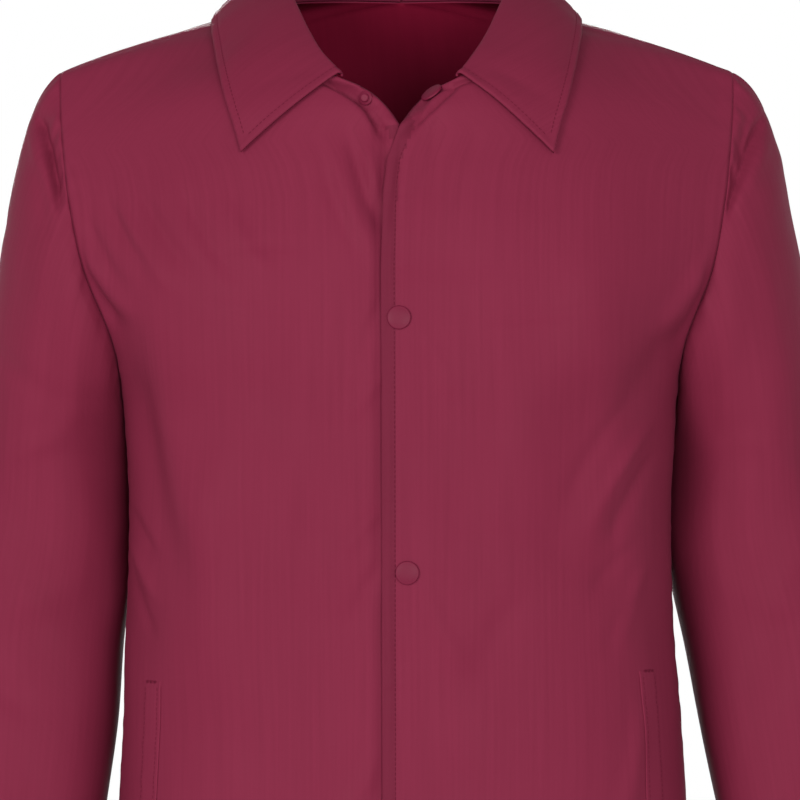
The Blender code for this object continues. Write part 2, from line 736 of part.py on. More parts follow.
def seat_at(tree, x, z, radius):
    """Centre and direction for a round piece that rests on the cloth round a place."""
    centre, normal = cloth_at(tree, x, z)
    for _ in range(2):
        side = normal.cross(Vector((0.0, 0.0, 1.0))).normalized()
        up = side.cross(normal)
        hits = []
        total = normal.copy()
        for k in range(SEAT_SAMPLES):
            angle = 2 * math.pi * k / SEAT_SAMPLES
            for reach in (0.5 * radius, radius):
                spoke = side * (reach * math.cos(angle)) + up * (reach * math.sin(angle))
                start = centre + spoke + normal * radius
                hit, slope, _, _ = tree.ray_cast(start, -normal, 2.0 * radius)
                if hit is not None:
                    hits.append(hit)
                    total += slope if slope.dot(normal) > 0.0 else -slope
        normal = total.normalized()
    lift = max([0.0] + [(hit - centre).dot(normal) for hit in hits])
    return centre + normal * lift, normal


def cloth_at(tree, x, z):
    """Point and outward direction of the front cloth straight behind a place in the picture."""
    hit, normal, _, _ = tree.ray_cast(Vector((x, -0.5, z)), Vector((0.0, 1.0, 0.0)))
    if normal.y > 0.0:
        normal = -normal
    return hit, normal


def round_cap(name, centre, normal, radius, height, material, profile):
    """Domed disc that stands on the cloth, a turned profile of radius and height shares."""
    normal = normal.normalized()
    side = normal.cross(Vector((0.0, 0.0, 1.0))).normalized()
    up = side.cross(normal).normalized()
    segments = CAP_SEGMENTS
    base = centre + normal * SEAM_GAP
    points = [base, base + normal * height]
    faces = []
    for share_r, share_h in profile:
        for k in range(segments):
            angle = 2 * math.pi * k / segments
            spoke = side * math.cos(angle) + up * math.sin(angle)
            points.append(base + spoke * (radius * share_r) + normal * (height * share_h))
    for ring in range(len(profile) - 1):
        for k in range(segments):
            a = 2 + ring * segments + k
            b = 2 + ring * segments + (k + 1) % segments
            faces.append((a, b, b + segments, a + segments))
    top = 2 + (len(profile) - 1) * segments
    for k in range(segments):
        n = (k + 1) % segments
        faces.append((0, 2 + n, 2 + k))
        faces.append((1, top + k, top + n))
    return mesh_object(name, points, faces, material)


CAP_PROFILE = ((0.90, 0.0), (1.0, 0.16), (0.99, 0.45), (0.92, 0.72), (0.70, 0.90), (0.35, 0.98))
STUD_PROFILE = ((1.0, 0.0), (1.0, 0.30), (0.62, 0.36), (0.55, 0.70), (0.62, 0.88), (0.40, 1.0))


WELT_ROWS = 9
WELT_COLUMNS = 4


def build_welt(side, panel):
    """Upright pocket welt whose back lies on the front panel, moved out."""
    tree = surface_tree([panel])
    welt = Panel("pocket_welt_left" if side > 0 else "pocket_welt_right")
    top = WELT_TOP[side]
    for i in range(WELT_ROWS + 1):
        z = top - WELT_LENGTH * (1.0 - i / WELT_ROWS)
        x = WELT_X[side] + WELT_SLANT * (top - z)
        centre, normal = cloth_at(tree, side * x, z)
        along = Vector((-normal.y, normal.x, 0.0)).normalized() * side
        for j in range(WELT_COLUMNS + 1):
            reach = WELT_WIDTH * (j / WELT_COLUMNS - 0.5)
            hit, slope, _, _ = tree.find_nearest(centre + along * reach)
            if slope.y > 0.0:
                slope = -slope
            welt.points[(i, j)] = hit + slope * (SEAM_GAP + WELT_WALL)
    for i in range(WELT_ROWS):
        for j in range(WELT_COLUMNS):
            welt.face((i, j), (i, j + 1), (i + 1, j + 1), (i + 1, j))
    if side < 0:
        welt.flip()
    return welt


def main():
    for obj in list(bpy.data.objects):
        bpy.data.objects.remove(obj, do_unlink=True)
    roughness = 0.45

    def nylon(name):
        return make_material(name, MATERIALS["nylon"], roughness)

    back = build_back()
    front_left = build_front(1)
    front_right = build_front(-1)
    shell_object(back, CLOTH_WALL, nylon("nylon_back"))
    shell_object(front_left, CLOTH_WALL, nylon("nylon_front_left"))
    shell_object(front_right, CLOTH_WALL, nylon("nylon_front_right"))
    for side, label in ((1, "left"), (-1, "right")):
        shell_object(build_sleeve(side), CLOTH_WALL, nylon("nylon_sleeve_" + label))
    body_tree = surface_tree([back, front_left, front_right])
    collar_material = make_material("nylon_collar", MATERIALS["nylon_collar"], roughness)
    shell_object(build_collar(body_tree), COLLAR_WALL, collar_material)
    shell_object(build_welt(1, front_left), WELT_WALL, nylon("nylon_welt_left"))
    shell_object(build_welt(-1, front_right), WELT_WALL, nylon("nylon_welt_right"))

    left_tree = surface_tree([front_left])
    right_tree = surface_tree([front_right])
    for i, (x, z) in enumerate(SNAP_ROWS):
        name = "snap_cap_%d" % (i + 1)
        hit, normal = seat_at(left_tree, x, z, SNAP_CAP_RADIUS)
        material = make_material(name + "_enamel", MATERIALS["snap"], 0.35)
        round_cap(name, hit, normal, SNAP_CAP_RADIUS, SNAP_CAP_HEIGHT, material, CAP_PROFILE)
    hit, normal = seat_at(left_tree, *TOP_SNAP_LEFT, SNAP_CAP_RADIUS)
    material = make_material("snap_cap_top_enamel", MATERIALS["snap"], 0.35)
    round_cap("snap_cap_top", hit, normal, SNAP_CAP_RADIUS, SNAP_CAP_HEIGHT, material, CAP_PROFILE)
    hit, normal = seat_at(right_tree, *TOP_SNAP_RIGHT, SNAP_STUD_RADIUS)
    material = make_material("snap_stud_top_metal", MATERIALS["snap"], 0.35)
    round_cap("snap_stud_top", hit, normal, SNAP_STUD_RADIUS, SNAP_STUD_HEIGHT, material, STUD_PROFILE)


main()
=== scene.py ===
import math
import bmesh
import bpy
import numpy as np
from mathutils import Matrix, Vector
from mathutils.bvhtree import BVHTree


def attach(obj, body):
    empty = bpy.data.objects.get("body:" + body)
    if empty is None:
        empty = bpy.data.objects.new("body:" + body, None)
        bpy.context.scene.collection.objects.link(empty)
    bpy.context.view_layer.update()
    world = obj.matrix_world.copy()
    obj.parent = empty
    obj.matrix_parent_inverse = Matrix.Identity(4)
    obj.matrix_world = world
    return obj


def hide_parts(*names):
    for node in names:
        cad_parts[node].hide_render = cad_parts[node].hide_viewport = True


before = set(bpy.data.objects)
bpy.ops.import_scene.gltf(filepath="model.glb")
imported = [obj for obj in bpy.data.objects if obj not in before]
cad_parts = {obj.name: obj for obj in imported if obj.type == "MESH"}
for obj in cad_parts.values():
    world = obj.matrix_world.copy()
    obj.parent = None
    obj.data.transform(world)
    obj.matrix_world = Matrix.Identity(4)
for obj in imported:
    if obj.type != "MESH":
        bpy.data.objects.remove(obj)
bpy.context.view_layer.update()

print("coach jacket: frame loaded")

# Sizes are metres. x to the wearer's left, y to the back, z up, neck base at the origin.
# Torso levels from the hem up to the underarm.
torso = {"z": (-0.728, -0.600, -0.463, -0.390, -0.320, -0.262),
         "halfWidth": (0.1900, 0.1860, 0.1790, 0.1750, 0.1735, 0.1765),
         "frontY": (-0.1280, -0.1310, -0.1330, -0.1340, -0.1345, -0.1335),
         "backY": (0.1120, 0.1120, 0.1080, 0.1080, 0.1130, 0.1200),
         "sideY": (-0.012, -0.013, -0.014, -0.015, -0.014, -0.004)}

# Lines that the pattern pieces end on, as x, y, z.
lines = {"frontCentre": ((0.0, -0.1335, -0.262), (0.0, -0.1320, -0.215), (0.0, -0.1275, -0.165),
                         (0.0, -0.1190, -0.118), (0.0, -0.1080, -0.077)),
         "openEdge": ((0.0, -0.1080, -0.077), (0.0095, -0.1050, -0.0640),
                      (0.0205, -0.1000, -0.0545), (0.0375, -0.0950, -0.0465)),
         "frontNeck": ((0.0375, -0.0950, -0.0465), (0.0600, -0.0650, -0.031),
                       (0.0750, -0.0320, -0.013), (0.0800, 0.0, 0.0)),
         "backCentre": ((0.0, 0.1200, -0.262), (0.0, 0.1245, -0.217), (0.0, 0.1265, -0.170),
                        (0.0, 0.1240, -0.122), (0.0, 0.1160, -0.074), (0.0, 0.1030, -0.029),
                        (0.0, 0.0860, 0.010)),
         "backNeck": ((0.0, 0.0860, 0.010), (0.0420, 0.0740, 0.010), (0.0700, 0.0400, 0.007),
                      (0.0800, 0.0, 0.0))}

# Armholes as x, y, z and the turn in degrees at which the panel meets the seam.
armholes = {"front": ((0.1765, -0.0040, -0.262, 90.0), (0.1815, -0.0480, -0.217, 66.0),
                      (0.1995, -0.0640, -0.168, 46.0), (0.2085, -0.0560, -0.125, 36.0),
                      (0.2125, -0.0420, -0.093, 29.0), (0.2145, -0.0300, -0.072, 22.0),
                      (0.2155, -0.0190, -0.0570, 14.0), (0.2158, -0.0090, -0.0445, 7.0),
                      (0.2160, 0.0, -0.0396, 0.0)),
            "back": ((0.1765, -0.0040, -0.262, 90.0), (0.1825, 0.0440, -0.222, 70.0),
                     (0.1990, 0.0640, -0.178, 50.0), (0.2085, 0.0640, -0.138, 40.0),
                     (0.2130, 0.0540, -0.106, 34.0), (0.2145, 0.0420, -0.083, 28.0),
                     (0.2153, 0.0300, -0.066, 20.0), (0.2157, 0.0190, -0.0545, 13.0),
                     (0.2159, 0.0090, -0.0445, 6.0), (0.2160, 0.0, -0.0396, 0.0))}

shoulder = {"startSlope": -0.21, "endSlope": -0.43, "lean": -0.0025, "waistLean": 0.0015}
reach = {"torsoIn": 0.55, "torsoOut": 0.385, "shoulderIn": 0.36, "shoulderOut": 0.33}
cloth = {"wall": 0.0010, "seamGap": 0.0003, "seamDip": 0.0003, "seamWidth": 0.0012, "allowance": 0.006,
         "hemDepth": 0.025, "grooveWidth": 0.0013, "grooveDepth": 0.0005,
         "ripple": 0.0006, "rippleSize": 0.085, "fineRipple": 0.00012, "wrinkle": 0.0003}
sideName = {1: "left", -1: "right"}
frontward, backward = np.array([0.0, -1.0, 0.0]), np.array([0.0, 1.0, 0.0])
bodyInside = Vector((0.0, 0.0, -0.3))

torsoLast = 5
frontOpen, frontCorner, frontTop = 9, 10, 13
backNeck, backTop = 11, 14


def smooth(value, low, high):
    t = np.clip((np.asarray(value, float) - low) / (high - low), 0.0, 1.0)
    return t * t * (3.0 - 2.0 * t)


def spline(rows, station):
    # smooth curve through every row, read at the given stations
    rows = np.asarray(rows, float)
    station = np.asarray(station, float)
    last = len(rows) - 1
    i = np.clip(np.floor(station).astype(int), 0, last - 1)
    t = (station - i)[..., None]
    ends = np.vstack([2 * rows[0] - rows[1], rows, 2 * rows[-1] - rows[-2]])
    p0, p1, p2, p3 = ends[i], ends[i + 1], ends[i + 2], ends[i + 3]
    s1, s2 = 0.5 * (p2 - p0), 0.5 * (p3 - p1)
    return ((2 * t ** 3 - 3 * t ** 2 + 1) * p1 + (t ** 3 - 2 * t ** 2 + t) * s1
            + (3 * t ** 2 - 2 * t ** 3) * p2 + (t ** 3 - t ** 2) * s2)


def bezier(p0, p1, p2, p3, t):
    s = 1.0 - t
    return p0 * s ** 3 + p1 * (3 * s * s * t) + p2 * (3 * s * t * t) + p3 * t ** 3


def unit(v):
    return v / np.maximum(np.linalg.norm(v, axis=-1, keepdims=True), 1e-12)


def innerLine(face, station):
    # points on the centre line, the open edge and the neck
    levels = spline(np.array([torso["frontY" if face == "front" else "backY"], torso["z"]]).T,
                    np.clip(station, 0, torsoLast))
    out = np.column_stack([np.zeros(len(station)), levels[:, 0], levels[:, 1]])
    parts = ([("frontCentre", torsoLast, frontOpen, 1.0), ("openEdge", frontOpen, frontCorner, 3.0),
              ("frontNeck", frontCorner, frontTop, 1.0)] if face == "front"
             else [("backCentre", torsoLast, backNeck, 1.0), ("backNeck", backNeck, backTop, 1.0)])
    for name, low, high, rate in parts:
        on = (station > low) & (station <= high)
        if on.any():
            out[on] = spline(lines[name], (station[on] - low) * rate)
    return out


def outerLine(face, station):
    # points on the side seam and the armhole, with the turn there
    levels = spline(np.array([torso["halfWidth"], torso["sideY"], torso["z"]]).T,
                    np.clip(station, 0, torsoLast))
    out = np.column_stack([levels, np.full(len(station), 90.0)])
    on = station >= torsoLast
    if on.any():
        out[on] = spline(armholes[face], station[on] - torsoLast)
    return out[:, :3], out[:, 3]


def rowHandles(face, station):
    start = innerLine(face, station)
    end, turn = outerLine(face, station)
    top = frontTop if face == "front" else backTop
    rise = smooth(station, torsoLast, top)
    chord = np.linalg.norm(end - start, axis=1)[:, None]
    headIn = unit(np.column_stack([np.ones(len(station)), np.zeros(len(station)),
                                   shoulder["startSlope"] * rise]))
    turn = np.radians(turn)
    back = 1.0 if face == "front" else -1.0
    headOut = unit(np.column_stack([np.cos(turn), back * np.sin(turn),
                                    shoulder["endSlope"] * smooth(station, torsoLast + 1, top)]))
    reachIn = (reach["torsoIn"] + (reach["shoulderIn"] - reach["torsoIn"]) * rise)[:, None]
    reachOut = (reach["torsoOut"] + (reach["shoulderOut"] - reach["torsoOut"]) * rise)[:, None]
    return start, start + headIn * reachIn * chord, end - headOut * reachOut * chord, end


def shareAtX(handles, x):
    low, high = np.zeros(len(x)), np.ones(len(x))
    for _ in range(30):
        mid = 0.5 * (low + high)
        over = bezier(*[h[:, 0] for h in handles], mid) < x
        low, high = np.where(over, mid, low), np.where(over, high, mid)
    return low


def lean(points):
    # the jacket sits a little to one side at the shoulders and to the other at the waist
    out = np.array(points, float)
    aside = np.abs(out[..., 0])
    upper = smooth(out[..., 2], -0.30, -0.05) * (1.0 - 0.8 * smooth(aside, 0.205, 0.24))
    lower = 1.0 - smooth(out[..., 2], -0.46, -0.39)
    out[..., 0] += (shoulder["lean"] * upper + shoulder["waistLean"] * lower) * smooth(aside, 0.0, 0.15)
    return out


def evenOut(points, stations, at, passes=60, reachOut=0.40, hold=1.0):
    # takes the corner out of the rows where two tables meet; hold keeps the edges where they are
    weight = np.exp(-((stations - at) / reachOut) ** 2)[:, None, None] * hold
    for _ in range(passes):
        middle = points.copy()
        middle[1:-1] = 0.25 * points[:-2] + 0.5 * points[1:-1] + 0.25 * points[2:]
        points = points + (middle - points) * weight
    return points


def softNoise(points, size, seed, waves=14):
    # gentle uneven undulation, the same each run
    rng = np.random.RandomState(seed)
    total = np.zeros(points.shape[:-1])
    for _ in range(waves):
        direction = unit(rng.normal(size=3))
        pitch = size * rng.uniform(0.7, 1.6)
        total += np.sin(points @ direction * (2 * math.pi / pitch) + rng.uniform(0, 6.28))
    return total / math.sqrt(waves)


def foldPlace(x, z, x0, z0, x1, z1, bow=0.0):
    # share of the way along a fold, and the distance to one side of its line
    dx, dz = x1 - x0, z1 - z0
    length = math.hypot(dx, dz)
    along = ((x - x0) * dx + (z - z0) * dz) / length ** 2
    across = ((x - x0) * dz - (z - z0) * dx) / length
    return along, across - bow * 4.0 * along * (1.0 - along)


def creases(table, x, z):
    # each row: from x, z to x, z, half width, height, bow to one side
    total = np.zeros(np.shape(x))
    for x0, z0, x1, z1, width, height, bow in table:
        along, across = foldPlace(x, z, x0, z0, x1, z1, bow)
        ends = smooth(along, -0.15, 0.35) * (1.0 - smooth(along, 0.70, 1.15))
        taper = width * (0.75 + 0.5 * np.clip(along, 0, 1))
        total += height * ends * np.exp(-(across / taper) ** 2)
    return total


def wrinkles(points, size, seed):
    # patchy fine creasing, level across the chest and upright below it
    level = softNoise(points * np.array([0.35, 0.35, 2.0]), size, seed)
    upright = softNoise(points * np.array([2.2, 1.0, 0.25]), size, seed + 1)
    low = 1.0 - smooth(points[..., 2], -0.34, -0.24)
    patch = smooth(softNoise(points, 0.12, seed + 2), -0.6, 1.0)
    return (level * (1.0 - low) + upright * low) * patch


def tucks(table, x, z):
    # folds laid over to one side: from x, z to x, z, height, sharp side, slow side, bow
    total = np.zeros(np.shape(x))
    for x0, z0, x1, z1, height, sharp, slow, bow in table:
        along, across = foldPlace(x, z, x0, z0, x1, z1, bow)
        ends = smooth(along, -0.12, 0.15) * (1.0 - smooth(along, 0.75, 1.12))
        fall = np.where(across > 0.0, sharp, slow)
        total += height * ends * np.exp(-(across / fall) ** 2)
    return total


def gridNormals(points, closed=False):
    if closed:
        du = np.roll(points, -1, axis=1) - np.roll(points, 1, axis=1)
    else:
        du = np.gradient(points, axis=1)
    return unit(np.cross(du, np.gradient(points, axis=0)))


def arcFrom(points, axis):
    # distance along the cloth from the first row or column
    step = np.linalg.norm(np.diff(points, axis=axis), axis=-1)
    return np.concatenate([np.zeros_like(np.take(step, [0], axis=axis)), np.cumsum(step, axis=axis)], axis=axis)


def ridge(distance, at, width, height):
    return height * np.exp(-((distance - at) / width) ** 2)


def seamDip(distance):
    return cloth["seamDip"] * np.exp(-(distance / cloth["seamWidth"]) ** 2)


def hemGroove(distance, at):
    return ridge(distance, at, cloth["grooveWidth"], -cloth["grooveDepth"])


def pucker(distance, along, run, pitch, height, seed):
    # uneven little pulls that run off a seam and die away
    rng = np.random.RandomState(seed)
    wave = np.zeros(np.shape(along))
    for _ in range(6):
        wave += rng.uniform(0.4, 1.0) * np.sin(along * 2 * math.pi / (pitch * rng.uniform(0.7, 1.7))
                                               + rng.uniform(0, 6.28))
    return height * 0.45 * wave * np.exp(-(np.abs(distance) / run) ** 1.5) * smooth(np.abs(distance), 0.0, 0.003)


def pieceOf(name, mesh, merge=None):
    # a cloth grid has its double points merged, a closed solid its normals turned outwards
    bm = bmesh.new()
    bm.from_mesh(mesh)
    if merge:
        bmesh.ops.remove_doubles(bm, verts=bm.verts[:], dist=merge)
    else:
        bmesh.ops.recalc_face_normals(bm, faces=bm.faces[:])
    for face in bm.faces:
        face.smooth = True
    bm.to_mesh(mesh)
    bm.free()
    piece = bpy.data.objects.new(name, mesh)
    bpy.context.scene.collection.objects.link(piece)
    return piece


def solidOf(name, points, faces):
    mesh = bpy.data.meshes.new(name)
    mesh.from_pydata([tuple(p) for p in points], [], faces)
    return pieceOf(name, mesh)


def gridMesh(name, points, u, v, flip=False, closed=False, doubled=None):
    # one cloth piece from a grid of points, with its flat size in metres as UV
    rows, cols = points.shape[:2]
    span = cols if closed else cols - 1
    i, j = np.meshgrid(np.arange(rows - 1), np.arange(span), indexing="ij")
    n = (j + 1) % cols
    corners = [i * cols + j, i * cols + n, (i + 1) * cols + n, (i + 1) * cols + j]
    quads = np.stack(corners, axis=-1).reshape(-1, 4)
    uvs = np.stack([u, v], axis=-1).reshape(-1, 2)
    cornerUv = uvs[quads].reshape(-1, 2)
    if closed:
        wrap = (n.reshape(-1) == 0)
        shift = np.zeros((len(quads), 4, 2))
        shift[wrap, 1:3, 0] = float(np.max(u) * cols / (cols - 1))
        cornerUv = (uvs[quads] + shift).reshape(-1, 2)
    if flip:
        quads = quads[:, ::-1]
        cornerUv = cornerUv.reshape(-1, 4, 2)[:, ::-1].reshape(-1, 2)
    mesh = bpy.data.meshes.new(name)
    mesh.from_pydata(points.reshape(-1, 3).tolist(), [], quads.tolist())
    layer = mesh.uv_layers.new(name="cut")
    layer.data.foreach_set("uv", cornerUv.reshape(-1))
    if doubled is not None:
        # the third material, where a hem is turned
        marked = doubled[:-1, :span].reshape(-1)
        mesh.polygons.foreach_set("material_index", np.where(marked, 2, 0).astype(np.int32))
    return pieceOf(name, mesh, merge=2e-6)


def treeOf(grids):
    points, faces = [], []
    for grid in grids:
        rows, cols = grid.shape[:2]
        base = len(points)
        points += [Vector(p) for p in grid.reshape(-1, 3)]
        for i in range(rows - 1):
            for j in range(cols - 1):
                a = base + i * cols + j
                faces.append((a, a + 1, a + cols + 1, a + cols))
    return BVHTree.FromPolygons(points, faces)


def castOnto(tree, x, z):
    # place and direction where a line from in front meets the cloth
    return tree.ray_cast(Vector((x, -0.5, z)), Vector((0.0, 1.0, 0.0)))[:2]


def dress(piece, nodes, materials, wall):
    for material in materials:
        piece.data.materials.append(material)
    if wall:
        shell = piece.modifiers.new("thickness", "SOLIDIFY")
        shell.thickness = wall
        shell.offset = -1.0
        shell.use_even_offset = False
        shell.material_offset = 1
        shell.material_offset_rim = 0
    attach(piece, "root")
    if nodes:
        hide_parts(*nodes)
    return piece


# Cloth finish
nylonLook = {"colour": (0.169, 0.0166, 0.0410), "cloudSize": 5.0, "cloudDepth": 0.10,
             "streakWide": 420.0, "streakTall": 9.0, "streakDepth": 0.10,
             "roughness": 0.55, "roughnessSpread": 0.05, "sheen": 0.02, "sheenRoughness": 0.5, "ior": 1.12,
             "threadPitch": 0.00048, "weaveHeight": 0.000035, "crumpleSize": 95.0,
             "crumpleHeight": 0.00030, "slubWide": 34.0, "slubTall": 230.0, "slubHeight": 0.00016}


def mottled(tree, scale, colour, low, high):
    # noise and a ramp between two shades of one colour
    noise = tree.nodes.new("ShaderNodeTexNoise")
    noise.inputs["Scale"].default_value = scale
    ramp = tree.nodes.new("ShaderNodeValToRGB")
    for element, share in zip(ramp.color_ramp.elements, (low, high)):
        element.color = (*[c * share for c in colour], 1.0)
    tree.links.new(noise.outputs["Fac"], ramp.inputs["Fac"])
    return noise, ramp.outputs["Color"]


def bumped(tree, height, strength, distance, before=None):
    bump = tree.nodes.new("ShaderNodeBump")
    bump.inputs["Strength"].default_value = strength
    bump.inputs["Distance"].default_value = distance
    tree.links.new(height, bump.inputs["Height"])
    if before is not None:
        tree.links.new(before, bump.inputs["Normal"])
    return bump.outputs["Normal"]


def nylon(name, look, tint=1.0):
    material = bpy.data.materials.new(name)
    material.use_nodes = True
    tree = material.node_tree
    nodes, links = tree.nodes, tree.links
    shader = nodes["Principled BSDF"]
    shader.inputs["Sheen Weight"].default_value = look["sheen"]
    shader.inputs["Sheen Roughness"].default_value = look["sheenRoughness"]
    shader.inputs["Sheen Tint"].default_value = (1.0, 0.35, 0.5, 1.0)
    shader.inputs["IOR"].default_value = look["ior"]
    cut = nodes.new("ShaderNodeUVMap")
    cut.uv_map = "cut"

    def stretched(scaleX, scaleY, detail):
        mapping = nodes.new("ShaderNodeMapping")
        mapping.inputs["Scale"].default_value = (scaleX, scaleY, 1.0)
        noise = nodes.new("ShaderNodeTexNoise")
        noise.inputs["Scale"].default_value = 1.0
        noise.inputs["Detail"].default_value = detail
        links.new(cut.outputs["UV"], mapping.inputs["Vector"])
        links.new(mapping.outputs["Vector"], noise.inputs["Vector"])
        return noise.outputs["Fac"]

    def scaled(value, low, high):
        mapRange = nodes.new("ShaderNodeMapRange")
        mapRange.inputs["From Min"].default_value = 0.25
        mapRange.inputs["From Max"].default_value = 0.75
        mapRange.inputs["To Min"].default_value = low
        mapRange.inputs["To Max"].default_value = high
        links.new(value, mapRange.inputs["Value"])
        return mapRange.outputs["Result"]

    # dye: slow clouds and fine upright streaks in the yarn
    tone = nodes.new("ShaderNodeMath")
    tone.operation = "MULTIPLY"
    links.new(scaled(stretched(look["cloudSize"], look["cloudSize"], 2.0),
                     1.0 - look["cloudDepth"], 1.0 + look["cloudDepth"]), tone.inputs[0])
    links.new(scaled(stretched(look["streakWide"], look["streakTall"], 3.0),
                     1.0 - look["streakDepth"], 1.0 + look["streakDepth"]), tone.inputs[1])
    mix = nodes.new("ShaderNodeMix")
    mix.data_type = "RGBA"
    colour = [c * tint for c in look["colour"]]
    mix.inputs[6].default_value = (colour[0] * 0.5, colour[1] * 0.38, colour[2] * 0.42, 1.0)
    mix.inputs[7].default_value = (colour[0] * 1.5, colour[1] * 1.62, colour[2] * 1.58, 1.0)
    half = nodes.new("ShaderNodeMath")
    half.operation = "MULTIPLY"
    half.inputs[1].default_value = 0.5
    links.new(tone.outputs[0], half.inputs[0])
    links.new(half.outputs[0], mix.inputs[0])
    links.new(mix.outputs[2], shader.inputs["Base Color"])
    links.new(scaled(stretched(28.0, 28.0, 3.0), look["roughness"] - look["roughnessSpread"],
                     look["roughness"] + look["roughnessSpread"]), shader.inputs["Roughness"])

    # weave: warp and weft threads pass over each other
    threads = []
    for direction in ("X", "Y"):
        wave = nodes.new("ShaderNodeTexWave")
        wave.bands_direction = direction
        wave.inputs["Scale"].default_value = 0.314 / look["threadPitch"]
        wave.inputs["Distortion"].default_value = 0.6
        links.new(cut.outputs["UV"], wave.inputs["Vector"])
        threads.append(wave)
    weave = nodes.new("ShaderNodeMath")
    weave.operation = "MAXIMUM"
    links.new(threads[0].outputs["Fac"], weave.inputs[0])
    links.new(threads[1].outputs["Fac"], weave.inputs[1])
    crumple = stretched(look["crumpleSize"], look["crumpleSize"] * 0.5, 4.0)
    soft = bumped(tree, crumple, 0.55, look["crumpleHeight"])
    slub = bumped(tree, stretched(look["slubWide"], look["slubTall"], 3.0), 0.5, look["slubHeight"], soft)
    fine = bumped(tree, weave.outputs[0], 0.5, look["weaveHeight"], slub)
    links.new(fine, shader.inputs["Normal"])
    return material


shellCloth = nylon("shell_nylon", nylonLook)
collarCloth = nylon("collar_nylon", nylonLook, 0.96)
# the wrong side of the cloth: duller, and darker than the outside as painted shade for the dim inside of the jacket
shadedInsideLook = dict(nylonLook, colour=(0.140, 0.0040, 0.0190), roughness=0.7, sheen=0.0)
shadedInsideCloth = nylon("shell_nylon_wrong_side_painted_shade", shadedInsideLook)
doubledCloth = nylon("shell_nylon_doubled", nylonLook, 0.81)
# outside, and inside with painted shade, then both again where a hem is turned
shellSet = [shellCloth, shadedInsideCloth, doubledCloth, shadedInsideCloth]
print("cloth finish: made")

# Shared folds that also stand in the solids: x, z to x, z, half width, height.
largeFolds = {"front": ((-0.200, -0.150, -0.120, -0.260, 0.020, 0.0030), (-0.185, -0.200, -0.135, -0.330, 0.016, -0.0026),
                        (0.190, -0.190, 0.130, -0.300, 0.020, 0.0026), (0.160, -0.270, 0.120, -0.340, 0.018, 0.0024),
                        (0.150, -0.370, 0.085, -0.330, 0.016, -0.0022), (-0.120, -0.560, -0.110, -0.740, 0.026, 0.0050),
                        (-0.055, -0.600, -0.060, -0.740, 0.024, -0.0040), (0.065, -0.590, 0.070, -0.740, 0.026, 0.0042),
                        (0.130, -0.560, 0.128, -0.740, 0.022, -0.0040)),
              "back": ((-0.170, -0.150, -0.060, -0.240, 0.024, 0.0034), (0.175, -0.160, 0.075, -0.260, 0.024, 0.0030),
                       (-0.150, -0.300, -0.070, -0.380, 0.022, -0.0026), (0.140, -0.310, 0.060, -0.360, 0.022, 0.0026),
                       (-0.095, -0.500, -0.100, -0.740, 0.030, 0.0060), (0.020, -0.520, 0.015, -0.740, 0.028, -0.0048),
                       (0.110, -0.500, 0.120, -0.740, 0.030, 0.0056))}


def foldHeight(face, x, z):
    total = np.zeros(np.shape(x))
    for x0, z0, x1, z1, width, height in largeFolds[face]:
        along, across = foldPlace(x, z, x0, z0, x1, z1)
        ends = height * smooth(along, -0.15, 0.35) * (1.0 - smooth(along, 0.75, 1.2))
        total += ends * np.exp(-(across / width) ** 2)
    return total


def outwardNormals(points, reference, closed=False):
    normals = gridNormals(points, closed)
    inward = float(np.sum(normals * reference)) < 0.0
    return (-normals if inward else normals), inward


# Fronts
front = {"rows": ((0.0, 5.0, 170), (5.0, 9.0, 76), (9.0, 10.0, 30), (10.0, 13.0, 40)), "columns": 100, "lapColumns": 9,
         "lapStation": (0.0, 4.0, 7.0, 8.0, 8.5, 9.0),
         "lap": {1: (0.0110, 0.0115, 0.0120, 0.0105, 0.0080, 0.0), -1: (0.0140, 0.0140, 0.0140, 0.0130, 0.0090, 0.0)},
         "lapStep": 0.0022, "edgeRoll": {1: (0.0170, 0.0045, 0.0), -1: (0.0040, 0.0040, 0.0)},
         "rollShare": (0.0, 0.026, 0.0598), "topstitchIn": 0.0084, "creaseShare": 2.7,
         "band": {1: {"wide": 0.0052, "raised": 0.0006, "crumple": 0.0008, "valley": 0.0020, "valleyWide": 0.0020},
                  -1: {"wide": 0.0075, "raised": 0.0016, "crumple": 0.0014, "valley": 0.0032, "valleyWide": 0.0026}}}
